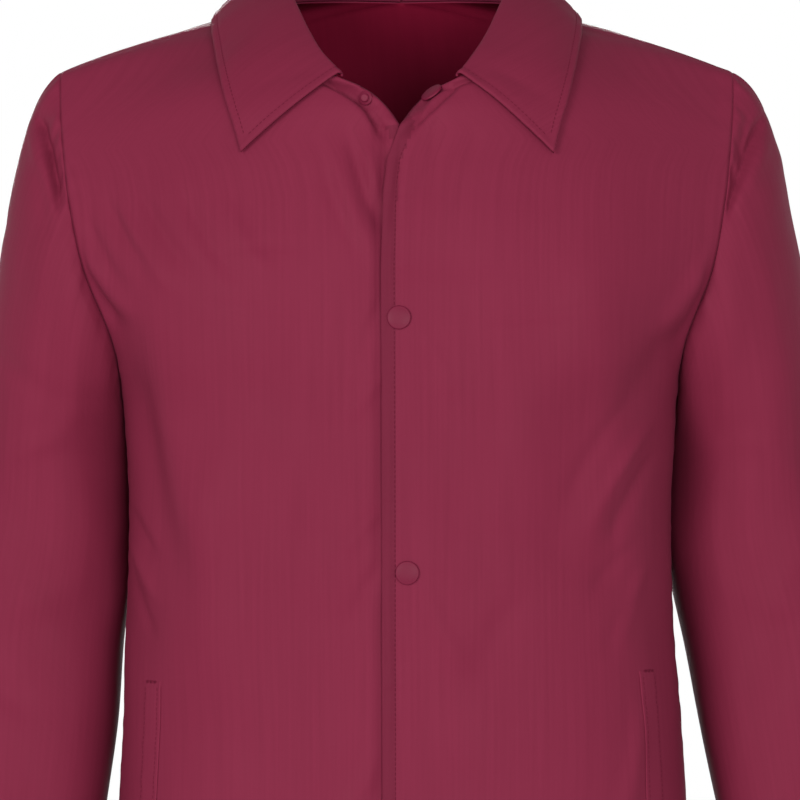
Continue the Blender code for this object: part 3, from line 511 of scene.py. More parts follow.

# Creases, listed one by one: x, z to x, z, half width, height, bow.
frontCreases = {
    -1: ((-0.2060, -0.160, -0.1760, -0.204, 0.0042, -0.0016, 0.002), (-0.1990, -0.152, -0.1680, -0.198, 0.0050, 0.0013, 0.002),
         (-0.1980, -0.132, -0.1750, -0.182, 0.0045, -0.0008, 0.001), (-0.1850, -0.120, -0.1560, -0.170, 0.0048, -0.0009, 0.002),
         (-0.1640, -0.112, -0.1280, -0.173, 0.0052, -0.0009, 0.003), (-0.1360, -0.116, -0.1000, -0.176, 0.0055, -0.0007, 0.003),
         (-0.1750, -0.128, -0.1420, -0.182, 0.0050, 0.0008, 0.002), (-0.1080, -0.126, -0.0780, -0.176, 0.0060, 0.0006, 0.003),
         (-0.1640, -0.236, -0.1380, -0.368, 0.0130, -0.0022, 0.004), (-0.1560, -0.206, -0.1230, -0.360, 0.0150, 0.0018, 0.004),
         (-0.1720, -0.318, -0.1560, -0.350, 0.0030, -0.0008, 0.001), (-0.1720, -0.338, -0.1540, -0.376, 0.0034, 0.0009, 0.001),
         (-0.1700, -0.362, -0.1560, -0.398, 0.0032, -0.0007, 0.001), (-0.0320, -0.082, -0.0105, -0.145, 0.0040, -0.0013, 0.002),
         (-0.0400, -0.092, -0.0150, -0.166, 0.0055, 0.0009, 0.003), (-0.0500, -0.094, -0.0230, -0.160, 0.0050, -0.0006, 0.003),
         (-0.0130, -0.186, -0.0230, -0.226, 0.0040, -0.0006, 0.001), (-0.0130, -0.236, -0.0300, -0.262, 0.0045, 0.0006, 0.001),
         (-0.0130, -0.318, -0.0340, -0.346, 0.0050, 0.0007, 0.002), (-0.0140, -0.352, -0.0320, -0.396, 0.0050, -0.0007, 0.001),
         (-0.0150, -0.470, -0.0400, -0.520, 0.0060, 0.0008, -0.002), (-0.1300, -0.188, -0.0400, -0.194, 0.0040, -0.0002, 0.002),
         (-0.1200, -0.158, -0.0560, -0.154, 0.0040, -0.0002, -0.002), (-0.1060, -0.262, -0.1160, -0.440, 0.0260, 0.0018, 0.006),
         (-0.0500, -0.300, -0.0460, -0.420, 0.0200, -0.0014, 0.004), (-0.0200, -0.604, -0.0240, -0.730, 0.0080, 0.0010, 0.002),
         (-0.1500, -0.600, -0.1560, -0.735, 0.0070, -0.0012, 0.002)),
    1: ((0.2040, -0.164, 0.1780, -0.214, 0.0042, -0.0014, -0.002), (0.1970, -0.156, 0.1680, -0.206, 0.0055, 0.0011, -0.002),
        (0.1620, -0.262, 0.1220, -0.328, 0.0050, 0.0010, 0.004), (0.1640, -0.280, 0.1320, -0.342, 0.0046, -0.0009, 0.003),
        (0.1440, -0.252, 0.1040, -0.318, 0.0060, -0.0006, 0.004), (0.1560, -0.352, 0.1380, -0.404, 0.0050, 0.0006, 0.002),
        (0.1480, -0.340, 0.1180, -0.376, 0.0050, -0.0004, 0.002), (0.1480, -0.372, 0.1300, -0.412, 0.0052, -0.0004, 0.002),
        (0.1840, -0.200, 0.1400, -0.270, 0.0110, -0.0012, 0.005), (0.0240, -0.070, 0.0100, -0.130, 0.0045, -0.0007, -0.002),
        (0.0420, -0.080, 0.0200, -0.150, 0.0060, 0.0006, -0.002), (0.0130, -0.206, 0.0360, -0.250, 0.0060, 0.0005, 0.002),
        (0.0130, -0.214, 0.0280, -0.238, 0.0035, -0.0004, 0.001), (0.0160, -0.364, 0.0400, -0.420, 0.0060, 0.0006, 0.003),
        (0.0740, -0.372, 0.0480, -0.440, 0.0120, -0.0009, 0.003), (0.1200, -0.150, 0.1300, -0.250, 0.0240, 0.0014, 0.005),
        (0.0900, -0.216, 0.0700, -0.330, 0.0240, 0.0012, 0.005), (0.0500, -0.200, 0.1300, -0.190, 0.0040, -0.0003, 0.002),
        (0.0200, -0.522, 0.0460, -0.580, 0.0070, 0.0007, 0.002), (0.1500, -0.440, 0.1380, -0.520, 0.0060, 0.0008, -0.002),
        (0.0260, -0.610, 0.0300, -0.735, 0.0080, -0.0009, 0.002), (0.1600, -0.600, 0.1640, -0.735, 0.0070, 0.0012, -0.002))}

# Crevices beside the neck band and beside the lapped edge, which run on to the edge itself.
edgeCreases = {
    -1: ((-0.0450, -0.0490, -0.0270, -0.0580, 0.0018, -0.0042, 0.0), (-0.0310, -0.0550, -0.0160, -0.0660, 0.0018, -0.0044, 0.0),
         (-0.0200, -0.0620, -0.0085, -0.0860, 0.0018, -0.0042, 0.001), (-0.0090, -0.0780, -0.0118, -0.1400, 0.0015, -0.0038, 0.0),
         (-0.0200, -0.0860, -0.0160, -0.1200, 0.0030, 0.0016, 0.0), (-0.0116, -0.1300, -0.0120, -0.3000, 0.0012, -0.0014, 0.0),
         (-0.0122, -0.2700, -0.0124, -0.3600, 0.0015, -0.0018, 0.0), (-0.0120, -0.3400, -0.0118, -0.4900, 0.0012, -0.0012, 0.0),
         (-0.0250, -0.0500, -0.0200, -0.0600, 0.0014, -0.0016, 0.0), (-0.0340, -0.0500, -0.0230, -0.0530, 0.0016, 0.0014, 0.0)),
    1: ((0.0380, -0.0500, 0.0180, -0.0690, 0.0018, -0.0036, 0.0), (0.0210, -0.0660, 0.0030, -0.0830, 0.0018, -0.0034, 0.0),
        (0.0320, -0.0600, 0.0140, -0.0780, 0.0028, 0.0012, 0.0), (0.0010, -0.0860, -0.0050, -0.1500, 0.0022, -0.0014, 0.001))}


def buildFront(side, over=None):
    stations = np.concatenate([np.linspace(a, b, n, endpoint=False) for a, b, n in front["rows"]] + [[frontTop]])
    shares = np.linspace(0.0, 1.0, front["columns"]) ** 1.08
    rows = len(stations)
    handles = rowHandles("front", stations)
    main = bezier(*[h[:, None, :] for h in handles], shares[None, :, None])
    lapX = np.interp(stations, front["lapStation"], front["lap"][side])
    lapParts = np.linspace(1.0, 0.0, front["lapColumns"], endpoint=False)
    lapPoints = []
    for part in lapParts:
        share = shareAtX(handles, np.maximum(lapX * part, 1e-7))
        point = bezier(*handles, share[:, None])
        point[:, 0] *= -1.0
        lapPoints.append(point)
    points = np.concatenate([np.stack(lapPoints, axis=1), main], axis=1)
    lapCount = len(lapParts)
    share = np.concatenate([np.zeros(lapCount), shares])[None, :] * np.ones((rows, 1))
    station = stations[:, None] * np.ones((1, share.shape[1]))
    points = evenOut(points, stations, torsoLast)
    within = (smooth(share, 0.06, 0.30) * (1.0 - smooth(share, 0.82, 0.98)))[..., None]
    points = evenOut(points, stations, 0.5 * (frontOpen + frontCorner), 260, 1.3, within)
    if side < 0:
        under = (1.0 - smooth(points[..., 0], 0.0125, 0.0190)) * (1.0 - smooth(station, frontOpen, frontCorner))
        points[..., 1] += front["lapStep"] * under
    opened = smooth(station, frontOpen, frontOpen + 0.35) * (1.0 - smooth(station, frontCorner - 0.4, frontCorner))
    points[..., 1] += np.interp(share, front["rollShare"], front["edgeRoll"][side]) * opened
    folds = (1.0 - smooth(share, 0.86, 0.99)) * (1.0 - smooth(station, frontTop - 4.0, frontTop - 2.0))
    folds = folds * smooth(np.abs(points[..., 0]), 0.022, 0.05)
    points[..., 1] -= foldHeight("front", side * points[..., 0], points[..., 2]) * folds
    points[..., 0] *= side

    normals, inward = outwardNormals(points, frontward)
    across = arcFrom(points, 1)
    fromSide = across[:, -1:] - across
    upward = arcFrom(points, 0)
    fromShoulder = upward[-1:, :] - upward
    rise = creases(frontCreases[side], points[..., 0], points[..., 2]) * front["creaseShare"]
    rise += softNoise(points, cloth["rippleSize"], 11 + side) * cloth["ripple"]
    rise += softNoise(points * np.array([1.0, 1.0, 0.45]), 0.030, 21 + side) * cloth["fineRipple"]
    rise += wrinkles(points, 0.050, 121 + side) * cloth["wrinkle"]
    rise *= smooth(fromSide, 0.0, 0.012) * smooth(fromShoulder, 0.0, 0.020) * smooth(across, 0.0, 0.012)
    rise += creases(edgeCreases[side], points[..., 0], points[..., 2])
    seam = pucker(fromSide, points[..., 2], 0.010, 0.016, 0.0003, 31 + side)
    seam += pucker(across, points[..., 2], 0.012, 0.026, 0.0004, 41 + side) * (1.0 - smooth(station, 8.0, 9.0))
    hem = pucker(upward - cloth["hemDepth"], points[..., 0], 0.010, 0.018, 0.0006, 51 + side)
    rise += seam + hem * smooth(fromSide, 0.0, 0.01)
    rise -= seamDip(fromSide)
    rise -= seamDip(fromShoulder) * smooth(share, 0.0, 0.05)
    rise += hemGroove(upward, cloth["hemDepth"])
    # the folded band in the open neck, with a valley beside it
    band = front["band"][side]
    wide = band["wide"]
    fromEdge = np.abs(across - across[:, lapCount:lapCount + 1]) * 0.72
    near = smooth(station, 8.7, 9.25) * (1.0 - smooth(station, 10.0, 10.4))
    folded = smooth(fromEdge, 0.0, 0.0015) * (1.0 - smooth(fromEdge, wide - 0.0015, wide + 0.0005))
    crumple = pucker(fromEdge - 0.5 * wide, upward, 0.004, 0.009, band["crumple"], 45 + side)
    rise += near * (band["raised"] * folded + crumple * folded
                    - band["valley"] * np.exp(-((fromEdge - wide - 0.0015) / band["valleyWide"]) ** 2))
    if side > 0:
        stitch, closed = front["topstitchIn"], 1.0 - smooth(station, 8.5, 9.0)
        rise += ridge(across, stitch, 0.0014, -0.0007) * closed
        rise += pucker(across - stitch, upward, 0.005, 0.007, 0.0004, 47) * closed
    points = points + normals * rise[..., None]
    closedLap = stations >= frontOpen
    points[closedLap, :lapCount] = points[closedLap, lapCount:lapCount + 1]
    points = lean(points)
    if over:
        # the front beneath keeps clear of the one that laps over it
        for i, j in zip(*np.nonzero(np.abs(points[..., 0]) < 0.020)):
            hit = castOnto(over, points[i, j, 0], points[i, j, 2])[0]
            if hit is not None:
                points[i, j, 1] = max(points[i, j, 1], hit.y + cloth["wall"] + cloth["seamGap"])
    doubledTo = frontCorner if side > 0 else frontOpen
    doubled = (upward < cloth["hemDepth"]) | ((across < front["topstitchIn"]) & (station < doubledTo))
    label = "front_" + sideName[side]
    piece = gridMesh("jacket_" + label, points, across, upward, flip=inward, doubled=doubled)
    dress(piece, [label], shellSet, cloth["wall"])
    return piece, points, outwardNormals(points, frontward)[0]


frontLeft, leftGrid, leftNormals = buildFront(1)
leftTree = treeOf([leftGrid])
frontRight, rightGrid, rightNormals = buildFront(-1, leftTree)
print("fronts: made")

# Back
back = {"rows": ((0.0, 5.0, 160), (5.0, 11.0, 92), (11.0, 14.0, 36)), "columns": 74, "creaseShare": 3.2}
backCreases = ((-0.196, -0.150, -0.110, -0.214, 0.0070, 0.0015, 0.004), (-0.192, -0.190, -0.120, -0.262, 0.0060, -0.0012, 0.005),
               (0.196, -0.156, 0.116, -0.222, 0.0070, 0.0014, -0.004), (0.188, -0.204, 0.130, -0.290, 0.0060, 0.0013, -0.005),
               (-0.070, -0.060, -0.020, -0.160, 0.0160, 0.0007, 0.003), (0.064, -0.056, 0.026, -0.170, 0.0150, 0.0006, -0.003),
               (-0.030, -0.290, 0.050, -0.306, 0.0100, 0.0008, 0.004), (-0.090, -0.350, 0.000, -0.362, 0.0090, -0.0007, -0.003),
               (0.100, -0.380, 0.030, -0.420, 0.0080, 0.0009, 0.003), (-0.120, -0.420, -0.070, -0.470, 0.0080, 0.0010, -0.003),
               (-0.150, -0.480, -0.146, -0.700, 0.0100, 0.0013, 0.004), (-0.040, -0.560, -0.044, -0.735, 0.0110, 0.0012, -0.003),
               (0.060, -0.540, 0.064, -0.735, 0.0100, -0.0013, 0.003), (0.156, -0.520, 0.158, -0.735, 0.0100, 0.0013, -0.003))


def buildBack():
    stations = np.concatenate([np.linspace(a, b, n, endpoint=False) for a, b, n in back["rows"]] + [[backTop]])
    shares = np.linspace(0.0, 1.0, back["columns"])
    handles = rowHandles("back", stations)
    half = evenOut(bezier(*[h[:, None, :] for h in handles], shares[None, :, None]), stations, torsoLast)
    shareHalf = shares[None, :] * np.ones((len(stations), 1))
    mirror = half[:, ::-1].copy()
    mirror[..., 0] *= -1.0
    # the neck splits the top rows, so each half stays its own grid and they join on the fold
    halves = []
    for side, grid in ((-1, mirror), (1, half)):
        share = shareHalf[:, ::-1] if side < 0 else shareHalf
        station = stations[:, None] * np.ones((1, grid.shape[1]))
        fade = (1.0 - smooth(share, 0.86, 0.99)) * (1.0 - smooth(station, backTop - 4.0, backTop - 2.0))
        grid = grid.copy()
        grid[..., 1] += foldHeight("back", grid[..., 0], grid[..., 2]) * fade
        halves.append((side, grid, share))
    whole = np.concatenate([halves[0][1], halves[1][1][:, 1:]], axis=1)
    share = np.concatenate([halves[0][2], halves[1][2][:, 1:]], axis=1)
    station = stations[:, None] * np.ones((1, whole.shape[1]))
    middle = half.shape[1] - 1
    normals, inward = outwardNormals(whole, backward)
    across = arcFrom(whole, 1)
    fromSide = np.minimum(across, across[:, -1:] - across)
    upward = arcFrom(whole, 0)
    fromShoulder = upward[-1:, :] - upward
    rise = creases(backCreases, whole[..., 0], whole[..., 2]) * back["creaseShare"]
    rise += softNoise(whole, cloth["rippleSize"] * 1.2, 61) * cloth["ripple"]
    rise += softNoise(whole * np.array([1.0, 1.0, 0.45]), 0.032, 62) * cloth["fineRipple"]
    rise += wrinkles(whole, 0.055, 131) * cloth["wrinkle"]
    rise *= smooth(fromSide, 0.0, 0.012) * smooth(fromShoulder, 0.0, 0.020)
    rise *= 1.0 - smooth(station, backNeck - 1.0, backNeck) * (1.0 - smooth(share, 0.0, 0.25))
    rise += pucker(fromSide, whole[..., 2], 0.010, 0.017, 0.0003, 63)
    rise += pucker(upward - cloth["hemDepth"], whole[..., 0], 0.010, 0.019, 0.0006, 64) * smooth(fromSide, 0.0, 0.01)
    rise -= seamDip(fromSide)
    rise -= seamDip(fromShoulder) * smooth(share, 0.0, 0.05)
    rise += hemGroove(upward, cloth["hemDepth"])
    whole = whole + normals * rise[..., None]
    # above the neck point the two halves part
    last = int(np.sum(stations <= backNeck + 1e-9)) - 1
    grids = [(lean(whole[:last + 1]), slice(0, last + 1), slice(None))]
    for side, grid, _ in halves:
        columns = slice(0, middle + 1) if side < 0 else slice(middle, None)
        part = grid[last:] + normals[last:, columns] * rise[last:, columns][..., None]
        part[0] = whole[last, columns]
        grids.append((lean(part), slice(last, None), columns))
    pieces = []
    for number, (grid, rows, columns) in enumerate(grids):
        up = upward[rows, columns]
        pieces.append(gridMesh("backPart%d" % number, grid, across[rows, columns], up,
                               flip=inward, doubled=up < cloth["hemDepth"]))
    joined = bmesh.new()
    for part in pieces:
        joined.from_mesh(part.data)
    bmesh.ops.remove_doubles(joined, verts=joined.verts[:], dist=5e-6)
    for face in joined.faces:
        face.smooth = True
    mesh = bpy.data.meshes.new("jacket_back")
    joined.to_mesh(mesh)
    joined.free()
    piece = bpy.data.objects.new("jacket_back", mesh)
    bpy.context.scene.collection.objects.link(piece)
    for part in pieces:
        bpy.data.objects.remove(part, do_unlink=True)
    dress(piece, ["back"], shellSet, cloth["wall"])
    return piece, [grid for grid, _, _ in grids]


jacketBack, backGrids = buildBack()
print("back: made")

# Sleeves
sleeve = {"rings": ((-0.285, 0.2238, 0.0280, 0.0498, 0.0690), (-0.340, 0.2262, 0.0320, 0.0545, 0.0640),
                    (-0.400, 0.2405, 0.0300, 0.0575, 0.0600), (-0.463, 0.2480, 0.0200, 0.0545, 0.0560),
                    (-0.560, 0.2620, -0.0020, 0.0480, 0.0490), (-0.655, 0.2740, -0.0250, 0.0430, 0.0430)),
          "swing": {1: 0.0, -1: -0.070}, "swingStart": -0.340, "tilt": 0.1, "cuffDepth": 0.022,
          "capHeight": (0.0, 0.35, 0.70, 0.90, 1.0), "capOut": (0.20, 0.35, 0.62, 0.86, 0.90),
          "capAway": (0.10, 0.25, 0.22, 0.10, 0.0), "capDown": (1.0, 1.0, 0.80, 0.50, 0.42),
          "capReach": (0.008, 0.030, 0.040, 0.035, 0.034), "capSettle": (0.008, 0.040, 0.070, 0.104, 0.122),
          "capRows": 76, "armRows": 130, "frontPoints": 96, "backPoints": 66, "elbowShare": 0.5,
          "flatness": 0.36, "tuckFade": {1: -0.55, -1: -0.35}, "underarmFill": 0.0018, "backCreaseShare": 1.8,
          "armRadius": 0.055}

# Folds laid over at the sleeve heads: from x, z to x, z, height, sharp side, slow side, bow.
sleeveTucks = {-1: ((-0.2325, -0.0660, -0.2160, -0.1240, -0.0046, 0.0022, 0.0080, -0.001),
                    (-0.2250, -0.0880, -0.2150, -0.1330, -0.0016, 0.0018, 0.0050, 0.0)),
               1: ((0.2365, -0.0660, 0.2070, -0.1350, -0.0046, 0.0080, 0.0022, 0.001),
                   (0.2260, -0.0640, 0.2190, -0.0980, -0.0016, 0.0050, 0.0018, 0.0))}

# Elbow folds that also stand in the solids: z, angle, width, spread, height, slope.
elbowFolds = ((-0.330, -0.6, 0.014, 1.1, 0.0026, 0.020), (-0.385, -1.2, 0.013, 1.0, 0.0030, -0.018),
              (-0.430, -0.9, 0.013, 1.0, -0.0028, 0.016), (-0.520, -1.4, 0.016, 1.1, 0.0024, 0.020),
              (-0.600, -0.8, 0.014, 1.2, 0.0024, -0.016), (-0.370, 1.6, 0.016, 1.0, -0.0026, 0.018),
              (-0.560, 1.3, 0.018, 1.1, 0.0024, 0.018))

# Sleeve creases in front, as the fronts have them, and behind by the distance round from the outer line.
sleeveFrontCreases = {
    -1: ((-0.2330, -0.066, -0.2230, -0.098, 0.0024, -0.0022, -0.001), (-0.2270, -0.084, -0.2160, -0.126, 0.0028, -0.0018, -0.001),
         (-0.2390, -0.070, -0.2300, -0.108, 0.0034, 0.0012, -0.001), (-0.2360, -0.092, -0.2240, -0.146, 0.0040, -0.0009, -0.002),
         (-0.2200, -0.150, -0.2350, -0.250, 0.0080, 0.0012, 0.003), (-0.2060, -0.190, -0.2200, -0.280, 0.0060, -0.0010, 0.003),
         (-0.2620, -0.215, -0.2140, -0.252, 0.0075, -0.0013, 0.003), (-0.2560, -0.290, -0.2060, -0.262, 0.0080, 0.0012, 0.003),
         (-0.2700, -0.330, -0.2200, -0.392, 0.0080, 0.0013, 0.003), (-0.2860, -0.400, -0.2350, -0.452, 0.0080, -0.0012, 0.003),
         (-0.2900, -0.520, -0.2400, -0.560, 0.0080, 0.0013, 0.003), (-0.2300, -0.600, -0.2700, -0.570, 0.0070, -0.0010, 0.003)),
    1: ((0.2360, -0.062, 0.2190, -0.106, 0.0024, -0.0022, 0.000), (0.2220, -0.098, 0.2060, -0.134, 0.0026, -0.0018, 0.000),
        (0.2400, -0.074, 0.2170, -0.126, 0.0045, 0.0012, 0.000), (0.2240, -0.068, 0.2180, -0.094, 0.0030, -0.0010, 0.001),
        (0.2300, -0.150, 0.2460, -0.256, 0.0090, 0.0010, -0.003), (0.2130, -0.196, 0.2260, -0.290, 0.0060, -0.0010, -0.003),
        (0.2560, -0.300, 0.2160, -0.272, 0.0080, 0.0011, 0.003), (0.2900, -0.372, 0.2300, -0.410, 0.0080, -0.0012, 0.003),
        (0.2900, -0.330, 0.2360, -0.372, 0.0080, 0.0011, 0.003), (0.3000, -0.520, 0.2500, -0.560, 0.0080, 0.0013, 0.003),
        (0.2400, -0.600, 0.2800, -0.576, 0.0070, -0.0010, 0.003))}
sleeveBackCreases = {
    -1: ((0.070, -0.090, 0.040, -0.180, 0.0060, 0.0013, 0.003), (0.100, -0.200, 0.050, -0.280, 0.0070, 0.0012, 0.003),
         (0.110, -0.340, 0.050, -0.390, 0.0070, 0.0013, -0.003), (0.120, -0.310, 0.040, -0.350, 0.0060, -0.0012, -0.003),
         (0.080, -0.480, 0.030, -0.540, 0.0070, 0.0012, 0.003), (0.100, -0.560, 0.060, -0.610, 0.0060, 0.0010, 0.002)),
    1: ((0.064, -0.084, 0.034, -0.170, 0.0060, 0.0012, 0.003), (0.096, -0.190, 0.052, -0.270, 0.0070, 0.0012, 0.003),
        (0.104, -0.330, 0.046, -0.382, 0.0070, 0.0012, -0.003), (0.116, -0.300, 0.046, -0.342, 0.0060, -0.0011, -0.003),
        (0.084, -0.470, 0.036, -0.530, 0.0070, 0.0012, 0.003), (0.096, -0.566, 0.050, -0.616, 0.0060, 0.0010, 0.002))}


def armLoop():
    frontStations = np.linspace(torsoLast, frontTop, sleeve["frontPoints"])
    backStations = np.linspace(torsoLast, backTop, sleeve["backPoints"])
    frontLoop = outerLine("front", frontStations)[0]
    backLoop = outerLine("back", backStations)[0]
    return np.vstack([frontLoop, backLoop[-2:0:-1]]), len(frontLoop) - 1


def buildSleeve(side):
    loop, tip = armLoop()
    count = len(loop)
    steps = np.linalg.norm(np.roll(loop, -1, axis=0) - loop, axis=1)
    lengths = np.concatenate([[0.0], np.cumsum(steps)])
    k = np.arange(count)
    angle = np.where(k <= tip, -math.pi + math.pi * lengths[:count] / lengths[tip],
                     math.pi * (lengths[:count] - lengths[tip]) / (lengths[count] - lengths[tip]))
    height = (loop[:, 2] - loop[0, 2]) / (loop[tip, 2] - loop[0, 2])
    out, away, down, capReach, settle = [np.interp(height, sleeve["capHeight"], sleeve[key]) for key in
                                         ("capOut", "capAway", "capDown", "capReach", "capSettle")]
    away = away * np.where((k > 0) & (k < tip), -1.0, 1.0)
    heading = unit(np.column_stack([out, away, -down]))

    def ring(station, flatness=0.0):
        # station may hold one value for each row; angle runs along the ring
        row = spline(sleeve["rings"], np.atleast_1d(station))
        swing = sleeve["swing"][side] * np.maximum(sleeve["swingStart"] - row[:, 0], 0.0)
        x = row[:, 1:2] + swing[:, None] + row[:, 3:4] * np.cos(angle)[None, :]
        # limp cloth hangs flatter than a round arm
        squareness = 1.0 - flatness * smooth(row[:, 0], -0.285, -0.345)[:, None]
        across = np.sign(np.sin(angle)) * np.abs(np.sin(angle)) ** squareness
        y = row[:, 2:3] + row[:, 4:5] * across
        z = row[:, 0:1] + sleeve["tilt"] * (x - row[:, 1:2])
        return np.stack([x, y, z], axis=-1)

    end, below = ring(0.0)[0], ring(0.25)[0]
    arrive = unit(end - below)
    t = np.linspace(0.0, 1.0, sleeve["capRows"] + 1)[:, None, None]
    leave, settled = loop + heading * capReach[:, None], end + arrive * settle[:, None]
    cap = bezier(loop[None], leave[None], settled[None], end[None], t)
    stations = np.linspace(0.0, len(sleeve["rings"]) - 1, sleeve["armRows"] + 1)[1:]
    arm = ring(stations, sleeve["flatness"])
    turnGrid = angle[None, :] * np.ones((len(stations), 1))
    fold = np.zeros(turnGrid.shape)
    for level, centre, width, spreadOut, tall, slope in elbowFolds:
        turn = (turnGrid - centre + math.pi) % (2 * math.pi) - math.pi
        fall = (arm[..., 2] - level - slope * turn) / width
        fold += sleeve["elbowShare"] * tall * np.exp(-fall ** 2) * np.exp(-(turn / spreadOut) ** 2)
    fold *= smooth(np.cos(turnGrid), -0.9, -0.2) * smooth(arm[..., 2], -0.655, -0.615)
    arm += np.stack([np.cos(turnGrid), np.sin(turnGrid), np.zeros(turnGrid.shape)], axis=-1) * fold[..., None]
    points = np.concatenate([cap, arm], axis=0)
    points[..., 0] *= side
    angles = angle[None, :] * np.ones((len(points), 1))
    reference = np.stack([side * np.cos(angles), np.sin(angles), np.zeros(angles.shape)], axis=-1)
    normals, inward = outwardNormals(points, reference, closed=True)
    radial = (loop - loop.mean(axis=0)) * np.array([0.0, 1.0, 1.0])
    behind = unit(unit(radial) + np.array([0.25, 0.0, 0.0])) * np.array([side, 1.0, 1.0])
    fromSeam = arcFrom(points, 0)
    fromCuff = fromSeam[-1:, :] - fromSeam
    roundUp = angles * sleeve["armRadius"]
    fromUnder = (math.pi - np.abs(angles)) * sleeve["armRadius"]
    ahead = 1.0 - smooth(np.sin(angles), -0.30, 0.25)
    rise = creases(sleeveFrontCreases[side], points[..., 0], points[..., 2]) * ahead
    rise += creases(sleeveBackCreases[side], roundUp, points[..., 2]) * (1.0 - ahead) * sleeve["backCreaseShare"]
    rise += softNoise(points, 0.070, 71 + side) * 0.0007
    rise += wrinkles(points, 0.050, 141 + side) * cloth["wrinkle"]
    rise *= smooth(fromSeam, 0.0, 0.012)
    facing = 1.0 - smooth(np.sin(angles), sleeve["tuckFade"][side], -0.05)
    rise += tucks(sleeveTucks[side], points[..., 0], points[..., 2]) * facing * smooth(fromSeam, 0.0, 0.005)
    rise *= smooth(fromCuff, cloth["hemDepth"], cloth["hemDepth"] + 0.02)
    rise *= smooth(fromUnder, 0.0, 0.02)
    alongSeam = np.cumsum(np.concatenate([[0.0], steps[:-1]]))[None, :]
    rise += pucker(fromSeam, alongSeam, 0.013, 0.017, 0.0008, 91 + side)
    rise -= seamDip(fromSeam)
    rise -= seamDip(fromUnder) * smooth(fromSeam, 0.0, 0.02)
    rise += hemGroove(fromCuff, sleeve["cuffDepth"])
    rise += pucker(fromCuff - sleeve["cuffDepth"], roundUp, 0.009, 0.014, 0.0006, 95 + side)
    points = points + normals * rise[..., None]
    # under the arm the sleeve rests against the body
    against = smooth(-np.cos(angles), 0.55, 1.0) * np.exp(-((points[..., 2] + 0.285) / 0.035) ** 2)
    points[..., 0] -= side * sleeve["underarmFill"] * against * smooth(fromSeam, 0.0, 0.008)
    hidden = np.array([1.0, 0.5, 0.12])[:, None, None] * cloth["allowance"]
    turnedIn = points[:1] - behind[None] * hidden
    points = lean(np.concatenate([turnedIn, points], axis=0))
    roundUp = np.vstack([roundUp[:3], roundUp])
    fromSeam = np.vstack([-hidden[:, :, 0] * np.ones((1, count)), fromSeam])
    # the rows turned in under the seam are never doubled
    doubled = np.vstack([np.zeros((3, count), bool), fromCuff < sleeve["cuffDepth"]])
    label = "sleeve_" + sideName[side]
    piece = gridMesh("jacket_" + label, points, roundUp + 0.2, 1.0 - fromSeam,
                     flip=inward, closed=True, doubled=doubled)
    dress(piece, [label], shellSet, cloth["wall"])
    return piece, points


sleeveLeft, sleeveLeftGrid = buildSleeve(1)
sleeveRight, sleeveRightGrid = buildSleeve(-1)
print("sleeves: made")

bodyTree = treeOf([leftGrid, rightGrid] + backGrids)

# Collar
collar = {"rows": ((0.0385, -0.0995, -0.0435, 0.1020, -0.1180, -0.0890), (0.0540, -0.0740, -0.0230, 0.1090, -0.0830, -0.0570),
                   (0.0670, -0.0360, 0.0040, 0.1150, -0.0450, -0.0310), (0.0730, 0.0020, 0.0230, 0.1180, 0.0020, -0.0070),
                   (0.0670, 0.0410, 0.0350, 0.1050, 0.0560, -0.0060), (0.0400, 0.0690, 0.0395, 0.0620, 0.1000, -0.0060),
                   (0.0, 0.0790, 0.0410, 0.0, 0.1130, -0.0070)),
          "lift": 0.0039, "wall": 0.0014, "foot": 0.0021, "standSteps": 16, "fallSteps": 40, "steps": 18,
          "settlePasses": 14, "topstitchIn": 0.0056}


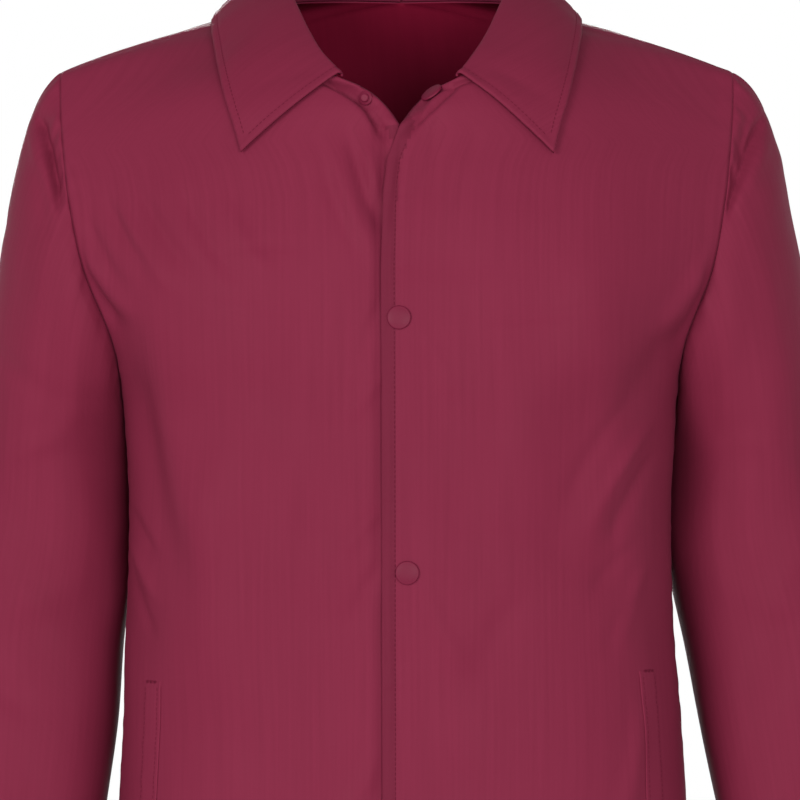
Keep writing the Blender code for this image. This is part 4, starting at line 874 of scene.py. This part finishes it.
def buildCollar():
    last = len(collar["rows"]) - 1
    shares = np.linspace(0.0, last, last * collar["steps"] + 1)
    table = spline(collar["rows"], shares)
    onFront = shares <= 3
    neck = np.where(onFront[:, None], spline(lines["frontNeck"], np.clip(shares, 0, 3)),
                    spline(lines["backNeck"], np.clip(last - shares, 0, 3)))
    into = np.zeros_like(neck)
    for mask, face, station in ((onFront, "front", frontCorner + shares), (~onFront, "back", backTop - (shares - 3))):
        into[mask] = bezier(*rowHandles(face, station[mask]), 0.06) - neck[mask]
    foot = neck - unit(into) * collar["foot"]
    order = [(-1, i) for i in range(len(shares))] + [(1, i) for i in range(len(shares) - 2, -1, -1)]
    grid = np.zeros((len(order), collar["standSteps"] + collar["fallSteps"] + 1, 3))
    for n, (side, i) in enumerate(order):
        mirror = np.array([side, 1.0, 1.0])
        start = Vector(lean(foot[i] * mirror))
        roll = Vector(lean(table[i, :3] * mirror))
        edge = Vector(lean(table[i, 3:] * mirror))
        hit, normal = bodyTree.find_nearest(edge)[:2]
        edge = hit + (normal if normal.dot(edge - bodyInside) > 0 else -normal) * collar["lift"]
        outward = edge - roll
        outward.z = 0.0
        outward.normalize()
        climb = roll - start
        standEnd = roll - outward * min(0.006, 0.45 * climb.length)
        standStart = start + Vector((0.0, 0.0, 0.45 * climb.length))
        ease = float(smooth(shares[i], 0.0, 1.5))
        fallStart = roll + (edge - roll) * 0.10 + outward * (0.003 + 0.006 * ease)
        bow = outward * 0.004 + Vector((0.0, 0.0, 0.006))
        fallEnd = edge + (roll - edge) * 0.35 + bow * (0.35 + 0.65 * ease)
        for j in range(collar["standSteps"] + 1):
            grid[n, j] = bezier(start, standStart, standEnd, roll, j / collar["standSteps"])
        for j in range(1, collar["fallSteps"] + 1):
            t = (j / collar["fallSteps"]) ** 1.15
            point = bezier(roll, fallStart, fallEnd, edge, t)
            hit, normal = bodyTree.find_nearest(point)[:2]
            if normal.dot(hit - bodyInside) < 0:
                normal = -normal
            lack = collar["lift"] - (point - hit).dot(normal)
            if lack > 0 and t > 0.3:
                point = point + normal * lack
            grid[n, collar["standSteps"] + j] = point
    # no sharp bend where the fall first rests on the body
    for _ in range(collar["settlePasses"]):
        between = 0.25 * grid[:, :-2] + 0.5 * grid[:, 1:-1] + 0.25 * grid[:, 2:]
        grid[:, collar["standSteps"] + 8:-1] = between[:, collar["standSteps"] + 7:]
    middle = grid[:, collar["standSteps"] + 10]
    reference = np.stack([middle[:, 0] * 2.0, middle[:, 1], np.full(len(middle), 0.05)], axis=-1)[:, None, :]
    normals = gridNormals(grid)
    inward = float(np.sum(normals[:, collar["standSteps"] + 6:] * reference)) < 0.0
    if inward:
        normals = -normals
    down = arcFrom(grid, 1)
    fromEdge = down[:, -1:] - down
    along = arcFrom(grid, 0)
    fromTip = np.minimum(along, along[-1:, :] - along)
    inset = np.minimum(fromEdge, fromTip)
    rise = softNoise(grid, 0.050, 101) * 0.0004 * smooth(inset, 0.0, 0.012)
    rise -= 0.0004 * np.exp(-((inset - collar["topstitchIn"]) / 0.0012) ** 2)
    rise += 0.0003 * smooth(inset, 0.0, 0.0015) * (1.0 - smooth(inset, 0.0035, 0.0052))
    rise += pucker(inset - collar["topstitchIn"], along, 0.006, 0.014, 0.0003, 102)
    grid = grid + normals * rise[..., None]
    piece = gridMesh("jacket_collar", grid, along, down, flip=inward)
    dress(piece, ["collar"], [collarCloth, shadedInsideCloth], collar["wall"])
    return piece, grid, normals, fromEdge, fromTip


jacketCollar, collarGrid, collarNormals, collarFromEdge, collarFromTip = buildCollar()
print("collar: made")

# Pocket welts
welt = {"length": 0.165, "width": 0.020, "wall": 0.0005, "proud": 0.0007, "top": {1: -0.419, -1: -0.426},
        "x": {1: 0.1560, -1: 0.1575}, "slant": 0.05, "rows": 80, "columns": 18}


def buildWelt(side, tree):
    top = welt["top"][side]
    grid = np.zeros((welt["rows"] + 1, welt["columns"] + 1, 3))
    slopes = np.zeros(grid.shape)
    for i in range(welt["rows"] + 1):
        z = top - welt["length"] * (1.0 - i / welt["rows"])
        x = float(lean(np.array([side * (welt["x"][side] + welt["slant"] * (top - z)), 0.0, z]))[0])
        centre, normal = castOnto(tree, x, z)
        if normal.y > 0.0:
            normal = -normal
        along = Vector((-normal.y, normal.x, 0.0)).normalized() * side
        for j in range(welt["columns"] + 1):
            hit, slope = tree.find_nearest(centre + along * (welt["width"] * (j / welt["columns"] - 0.5)))[:2]
            slope = slope if slope.y < 0.0 else -slope
            grid[i, j] = hit + slope * welt["proud"]
            slopes[i, j] = slope
    acrossWelt = np.linspace(0.0, welt["width"], welt["columns"] + 1)[None, :]
    edge = np.minimum(acrossWelt, welt["width"] - acrossWelt)
    upWelt = np.linspace(0.0, welt["length"], welt["rows"] + 1)[:, None]
    ends = np.minimum(upWelt, welt["length"] - upWelt)
    toBody = welt["width"] - acrossWelt
    rise = -0.0008 * (1.0 - smooth(np.minimum(toBody, ends), 0.0, 0.0055))
    rise = rise - 0.0002 * (1.0 - smooth(acrossWelt, 0.0, 0.0010))
    rise = rise - 0.0001 * np.exp(-((np.minimum(edge, ends + 0.001) - 0.0035) / 0.0009) ** 2)
    rise = rise + pucker(edge, upWelt * np.ones_like(edge), 0.008, 0.016, 0.0002, 111 + side)
    grid += slopes * rise[..., None]
    flip = float(np.sum(gridNormals(grid) * slopes)) < 0.0
    u, v = np.broadcast_arrays(acrossWelt, upWelt)
    piece = gridMesh("pocket_welt_cloth_" + sideName[side], grid, u, v, flip=flip)
    label = "pocket_welt_" + sideName[side]
    dress(piece, [label], [shellCloth, shadedInsideCloth], welt["wall"])
    return piece, grid, slopes


rightTree = treeOf([rightGrid])
weltLeft, weltLeftGrid, weltLeftSlopes = buildWelt(1, leftTree)
weltRight, weltRightGrid, weltRightSlopes = buildWelt(-1, rightTree)
print("pocket welts: made")

# Sewing thread
thread = {"stitch": 0.0025, "pitch": 0.0031, "radius": 0.00024, "sunk": 0.00006,
          "colour": (0.125, 0.0110, 0.0290), "roughness": 0.75}


def threadMaterial():
    material = bpy.data.materials.new("sewing_thread")
    material.use_nodes = True
    tree = material.node_tree
    shader = tree.nodes["Principled BSDF"]
    shader.inputs["Roughness"].default_value = thread["roughness"]
    shader.inputs["IOR"].default_value = nylonLook["ior"]
    ply, colour = mottled(tree, 900.0, thread["colour"], 0.8, 1.25)
    tree.links.new(colour, shader.inputs["Base Color"])
    tree.links.new(bumped(tree, ply.outputs["Fac"], 0.4, 0.00005), shader.inputs["Normal"])
    return material


threadFinish = threadMaterial()


def stitchRows(name, runs, length=None, pitch=None, radius=None):
    # each run is a line of points on the cloth and the outward directions there
    length, pitch = length or thread["stitch"], pitch or thread["pitch"]
    radius = radius or thread["radius"]
    points, faces = [], []
    for line, outs in runs:
        steps = np.linalg.norm(np.diff(line, axis=0), axis=1)
        mark = np.concatenate([[0.0], np.cumsum(steps)])
        starts = np.arange(0.5 * pitch, mark[-1] - length, pitch)
        for s in starts:
            spots = np.array([s, s + 0.15 * length, s + 0.5 * length, s + 0.85 * length, s + length])
            centre = np.column_stack([np.interp(spots, mark, line[:, a]) for a in range(3)])
            out = unit(np.column_stack([np.interp(spots, mark, outs[:, a]) for a in range(3)]))
            run = unit(centre[-1] - centre[0])
            sideways = unit(np.cross(run, out))
            centre = centre + out * (radius * np.array([-1.0, 0.35, 0.7, 0.35, -1.0]) - thread["sunk"])[:, None]
            base = len(points)
            for ringIndex in range(5):
                size = radius * (0.45 if ringIndex in (0, 4) else 1.0)
                for corner in range(6):
                    turn = corner * math.pi / 3
                    points.append(centre[ringIndex] + sideways[ringIndex] * (size * math.cos(turn))
                                  + out[ringIndex] * (size * math.sin(turn)))
            for ringIndex in range(4):
                for corner in range(6):
                    a = base + ringIndex * 6 + corner
                    b = base + ringIndex * 6 + (corner + 1) % 6
                    faces.append((a, b, b + 6, a + 6))
            faces.append(tuple(base + c for c in reversed(range(6))))
            faces.append(tuple(base + 24 + c for c in range(6)))
    return dress(solidOf(name, points, faces), [], [threadFinish], 0.0)


def lineAt(grid, normals, measure, value, axis):
    # the line on a grid where a measure reaches a value, for each row or column
    line, outs = [], []
    count = grid.shape[1 - axis]
    for k in range(count):
        along = measure[:, k] if axis == 0 else measure[k]
        spots = grid[:, k] if axis == 0 else grid[k]
        aims = normals[:, k] if axis == 0 else normals[k]
        order = np.argsort(along)
        line.append([np.interp(value, along[order], spots[order, a]) for a in range(3)])
        outs.append([np.interp(value, along[order], aims[order, a]) for a in range(3)])
    return np.array(line), unit(np.array(outs))


leftAcross, leftUp = arcFrom(leftGrid, 1), arcFrom(leftGrid, 0)
rightUp = arcFrom(rightGrid, 0)
placketRows = int(np.argmax(leftGrid[:, front["lapColumns"] + 2, 2] > -0.085))
placket = lineAt(leftGrid[:placketRows], leftNormals[:placketRows], leftAcross[:placketRows], front["topstitchIn"], 1)
hemLeft = lineAt(leftGrid, leftNormals, leftUp, cloth["hemDepth"], 0)
hemRight = lineAt(rightGrid, rightNormals, rightUp, cloth["hemDepth"], 0)
stitchRows("stitches_front_left", [placket, hemLeft])
stitchRows("stitches_front_right", [hemRight])
backLower = backGrids[0]
backNormals = outwardNormals(backLower, backward)[0]
stitchRows("stitches_back", [lineAt(backLower, backNormals, arcFrom(backLower, 0), cloth["hemDepth"], 0)])
for grid, side, label in ((sleeveLeftGrid, 1, "sleeve_left"), (sleeveRightGrid, -1, "sleeve_right")):
    centre = grid[-1].mean(axis=0)
    aims = gridNormals(grid, closed=True)
    if float(np.sum(aims[-1] * (grid[-1] - centre))) < 0.0:
        aims = -aims
    down = arcFrom(grid, 0)
    line, outs = lineAt(grid, aims, down[-1:, :] - down, sleeve["cuffDepth"], 0)
    stitchRows("stitches_" + label, [(np.vstack([line, line[:1]]), np.vstack([outs, outs[:1]]))])
collarRuns = []
inset = collar["topstitchIn"]
edgeLine, edgeOuts = lineAt(collarGrid, collarNormals, collarFromEdge, inset, 1)
inside = np.minimum(collarFromTip[:, -6], collarFromTip[::-1, -6]) > inset
collarRuns.append((edgeLine[inside], edgeOuts[inside]))
for part in (slice(0, 60), slice(len(collarGrid) - 60, None)):
    sub, aim, far, out = collarGrid[part], collarNormals[part], collarFromTip[part], collarFromEdge[part]
    line, outs = lineAt(sub, aim, far, inset, 0)
    edgeAway = np.array([np.interp(inset, np.sort(far[:, c]), out[np.argsort(far[:, c]), c])
                         for c in range(sub.shape[1])])
    keep = (edgeAway > inset) & (np.arange(sub.shape[1]) > collar["standSteps"] * 0.5)
    collarRuns.append((line[keep], outs[keep]))
stitchRows("stitches_collar", collarRuns)
for grid, slopes, label in ((weltLeftGrid, weltLeftSlopes, "pocket_welt_left"),
                            (weltRightGrid, weltRightSlopes, "pocket_welt_right")):
    stitchRows("stitches_" + label, [(grid[2:-2, 3], slopes[2:-2, 3]), (grid[2:-2, -4], slopes[2:-2, -4])])
    bars = []
    for row in (1, -2):
        for offset in np.linspace(-0.0007, 0.0007, 4):
            step = np.array([0.0, 0.0, offset])
            bars.append((grid[row, 2:-1] + step, slopes[row, 2:-1]))
    stitchRows("bartack_" + label, bars, length=0.0042, pitch=0.0040, radius=0.00026)
print("sewing: made")

# Snaps
snap = {"radius": 0.0075, "height": 0.0022, "studRadius": 0.0045, "studHeight": 0.0030, "segments": 56,
        "places": ((-0.0006, -0.1984), (0.0046, -0.3580), (0.0048, -0.5170), (0.0040, -0.6760)),
        "topLeft": (0.0205, -0.0572), "topRight": (-0.0215, -0.0600),
        "capProfile": ((0.90, 0.0), (0.97, 0.06), (1.0, 0.16), (1.0, 0.34), (0.985, 0.50), (0.955, 0.62), (0.90, 0.70),
                       (0.86, 0.715), (0.82, 0.735), (0.74, 0.80), (0.60, 0.88), (0.42, 0.94), (0.22, 0.98)),
        "studProfile": ((1.0, 0.0), (1.0, 0.24), (0.96, 0.30), (0.66, 0.33), (0.57, 0.40), (0.54, 0.62), (0.60, 0.82),
                        (0.57, 0.93), (0.42, 1.0), (0.22, 0.97)),
        "colour": (0.143, 0.0092, 0.0310), "roughness": 0.46}


def snapMaterial(name, metallic):
    material = bpy.data.materials.new(name)
    material.use_nodes = True
    tree = material.node_tree
    shader = tree.nodes["Principled BSDF"]
    shader.inputs["Metallic"].default_value = metallic
    shader.inputs["Specular IOR Level"].default_value = 0.12
    shader.inputs["Coat Weight"].default_value = 0.01
    shader.inputs["Coat Roughness"].default_value = 0.3
    grain, colour = mottled(tree, 700.0, snap["colour"], 0.88, 1.12)
    grain.inputs["Detail"].default_value = 4.0
    tree.links.new(colour, shader.inputs["Base Color"])
    rough = tree.nodes.new("ShaderNodeMapRange")
    rough.inputs["To Min"].default_value = snap["roughness"] - 0.05
    rough.inputs["To Max"].default_value = snap["roughness"] + 0.08
    tree.links.new(grain.outputs["Fac"], rough.inputs["Value"])
    tree.links.new(rough.outputs["Result"], shader.inputs["Roughness"])
    tree.links.new(bumped(tree, grain.outputs["Fac"], 0.25, 0.00003), shader.inputs["Normal"])
    return material


def seatAt(tree, x, z, radius):
    # a snap lies in the plane of the cloth round it
    centre, normal = castOnto(tree, x, z)
    normal = normal if normal.y < 0.0 else -normal
    for _ in range(2):
        sideways = normal.cross(Vector((0.0, 0.0, 1.0))).normalized()
        up = sideways.cross(normal)
        hits, total = [], normal.copy()
        for k in range(24):
            turn = 2 * math.pi * k / 24
            for size in (0.5 * radius, radius):
                spoke = sideways * (size * math.cos(turn)) + up * (size * math.sin(turn))
                hit, slope = tree.ray_cast(centre + spoke + normal * radius, -normal, 2.0 * radius)[:2]
                if hit is not None:
                    hits.append(hit)
                    total += slope if slope.dot(normal) > 0.0 else -slope
        normal = total.normalized()
    lift = max([0.0] + [(hit - centre).dot(normal) for hit in hits])
    return centre + normal * (0.7 * lift), normal


def turned(name, slotName, seat, radius, height, profile, material):
    centre, normal = seat
    sideways = normal.cross(Vector((0.0, 0.0, 1.0))).normalized()
    up = sideways.cross(normal).normalized()
    base = centre - normal * 0.0002
    count = snap["segments"]
    points, faces = [base, base + normal * (height * profile[-1][1] + 0.00003)], []
    for shareRadius, shareHeight in profile:
        for k in range(count):
            turn = 2 * math.pi * k / count
            spoke = sideways * math.cos(turn) + up * math.sin(turn)
            points.append(base + spoke * (radius * shareRadius) + normal * (height * shareHeight))
    for ringIndex in range(len(profile) - 1):
        for k in range(count):
            a = 2 + ringIndex * count + k
            b = 2 + ringIndex * count + (k + 1) % count
            faces.append((a, b, b + count, a + count))
    top = 2 + (len(profile) - 1) * count
    for k in range(count):
        n = (k + 1) % count
        faces.append((0, 2 + n, 2 + k))
        faces.append((1, top + k, top + n))
    return dress(solidOf(name, points, faces), [slotName], [material], 0.0)


capFinish = snapMaterial("snap_enamel", 0.0)
studFinish = snapMaterial("snap_stud_enamel", 0.05)
for number, (x, z) in enumerate(snap["places"], 1):
    turned("snap_%d" % number, "snap_cap_%d" % number, seatAt(leftTree, x, z, snap["radius"]), snap["radius"],
           snap["height"], snap["capProfile"], capFinish)
turned("snap_top", "snap_cap_top", seatAt(leftTree, *snap["topLeft"], snap["radius"]), snap["radius"],
       snap["height"], snap["capProfile"], capFinish)
turned("snap_top_stud", "snap_stud_top", seatAt(rightTree, *snap["topRight"], snap["studRadius"]), snap["studRadius"],
       snap["studHeight"], snap["studProfile"], studFinish)
print("snaps: made")

# Studio
studio = {"floorZ": -1.35, "floorRadius": 4.5, "floorColour": (0.95, 0.95, 0.95), "ambient": 0.76,
          "overhead": 0.32, "frontal": 1.40, "rear": 0.9,
          "keyStrength": 1.4, "keyAngle": 24.0, "keyTurn": (82.0, 0.0, -34.0),
          "fillStrength": 1.2, "fillAngle": 22.0, "fillTurn": (88.0, 0.0, 14.0),
          "behindStrength": 1.5, "behindAngle": 20.0, "behindTurn": (80.0, 0.0, 183.0),
          "cameraPlace": (0.0, -4.83, -0.25), "framed": 0.5, "distance": 4.7}


def buildStudio():
    mesh = bpy.data.meshes.new("studio_floor")
    ring = [(studio["floorRadius"] * math.cos(k * math.pi / 48), studio["floorRadius"] * math.sin(k * math.pi / 48),
             studio["floorZ"]) for k in range(96)]
    mesh.from_pydata(ring, [], [tuple(range(96))])
    floor = bpy.data.objects.new("studio_floor", mesh)
    bpy.context.scene.collection.objects.link(floor)
    material = bpy.data.materials.new("pale_floor")
    material.use_nodes = True
    shader = material.node_tree.nodes["Principled BSDF"]
    colour = mottled(material.node_tree, 3.0, studio["floorColour"], 0.97, 1.0)[1]
    material.node_tree.links.new(colour, shader.inputs["Base Color"])
    shader.inputs["Roughness"].default_value = 0.9
    floor.data.materials.append(material)

    # white walls: dimmer towards the ceiling, brighter where the big front screens stand
    world = bpy.data.worlds.new("studio")
    world.use_nodes = True
    nodes, links = world.node_tree.nodes, world.node_tree.links
    background = nodes["Background"]
    background.inputs["Color"].default_value = (1.0, 1.0, 1.0, 1.0)
    where = nodes.new("ShaderNodeTexCoord")
    axes = nodes.new("ShaderNodeSeparateXYZ")
    links.new(where.outputs["Generated"], axes.inputs["Vector"])
    shares = []
    for axis, low, high, amount in (("Z", 0.1, 0.95, studio["overhead"]), ("Y", 0.0, -0.9, studio["frontal"]),
                                    ("Y", 0.1, 0.8, studio["rear"])):
        share = nodes.new("ShaderNodeMapRange")
        share.interpolation_type = "SMOOTHSTEP"
        share.inputs["From Min"].default_value = low
        share.inputs["From Max"].default_value = high
        share.inputs["To Min"].default_value = 1.0
        share.inputs["To Max"].default_value = amount
        links.new(axes.outputs[axis], share.inputs["Value"])
        shares.append(share)
    # the backdrop itself is plain white
    ray = nodes.new("ShaderNodeLightPath")
    backdrop = nodes.new("ShaderNodeMix")
    backdrop.inputs["B"].default_value = 1.0
    level = shares[0].outputs["Result"]
    for share in shares[1:]:
        product = nodes.new("ShaderNodeMath")
        product.operation = "MULTIPLY"
        links.new(level, product.inputs[0])
        links.new(share.outputs["Result"], product.inputs[1])
        level = product.outputs[0]
    ambient = nodes.new("ShaderNodeMath")
    ambient.operation = "MULTIPLY"
    ambient.inputs[1].default_value = studio["ambient"]
    links.new(level, ambient.inputs[0])
    links.new(ambient.outputs[0], backdrop.inputs["A"])
    links.new(ray.outputs["Is Camera Ray"], backdrop.inputs["Factor"])
    links.new(backdrop.outputs["Result"], background.inputs["Strength"])
    bpy.context.scene.world = world
    for name in ("key", "fill", "behind"):
        light = bpy.data.lights.new(name, "SUN")
        light.energy = studio[name + "Strength"]
        light.angle = math.radians(studio[name + "Angle"])
        lamp = bpy.data.objects.new(name, light)
        lamp.rotation_euler = [math.radians(a) for a in studio[name + "Turn"]]
        bpy.context.scene.collection.objects.link(lamp)

    camera = bpy.data.cameras.new("camera")
    camera.sensor_width = 36.0
    camera.lens = 36.0 * studio["distance"] / studio["framed"]
    camera.clip_start = 0.1
    camera.clip_end = 60.0
    stand = bpy.data.objects.new("camera", camera)
    stand.location = studio["cameraPlace"]
    stand.rotation_euler = (math.radians(90.0), 0.0, 0.0)
    bpy.context.scene.collection.objects.link(stand)
    bpy.context.scene.camera = stand
    bpy.context.scene.view_settings.view_transform = "Standard"


buildStudio()
print("studio: made")
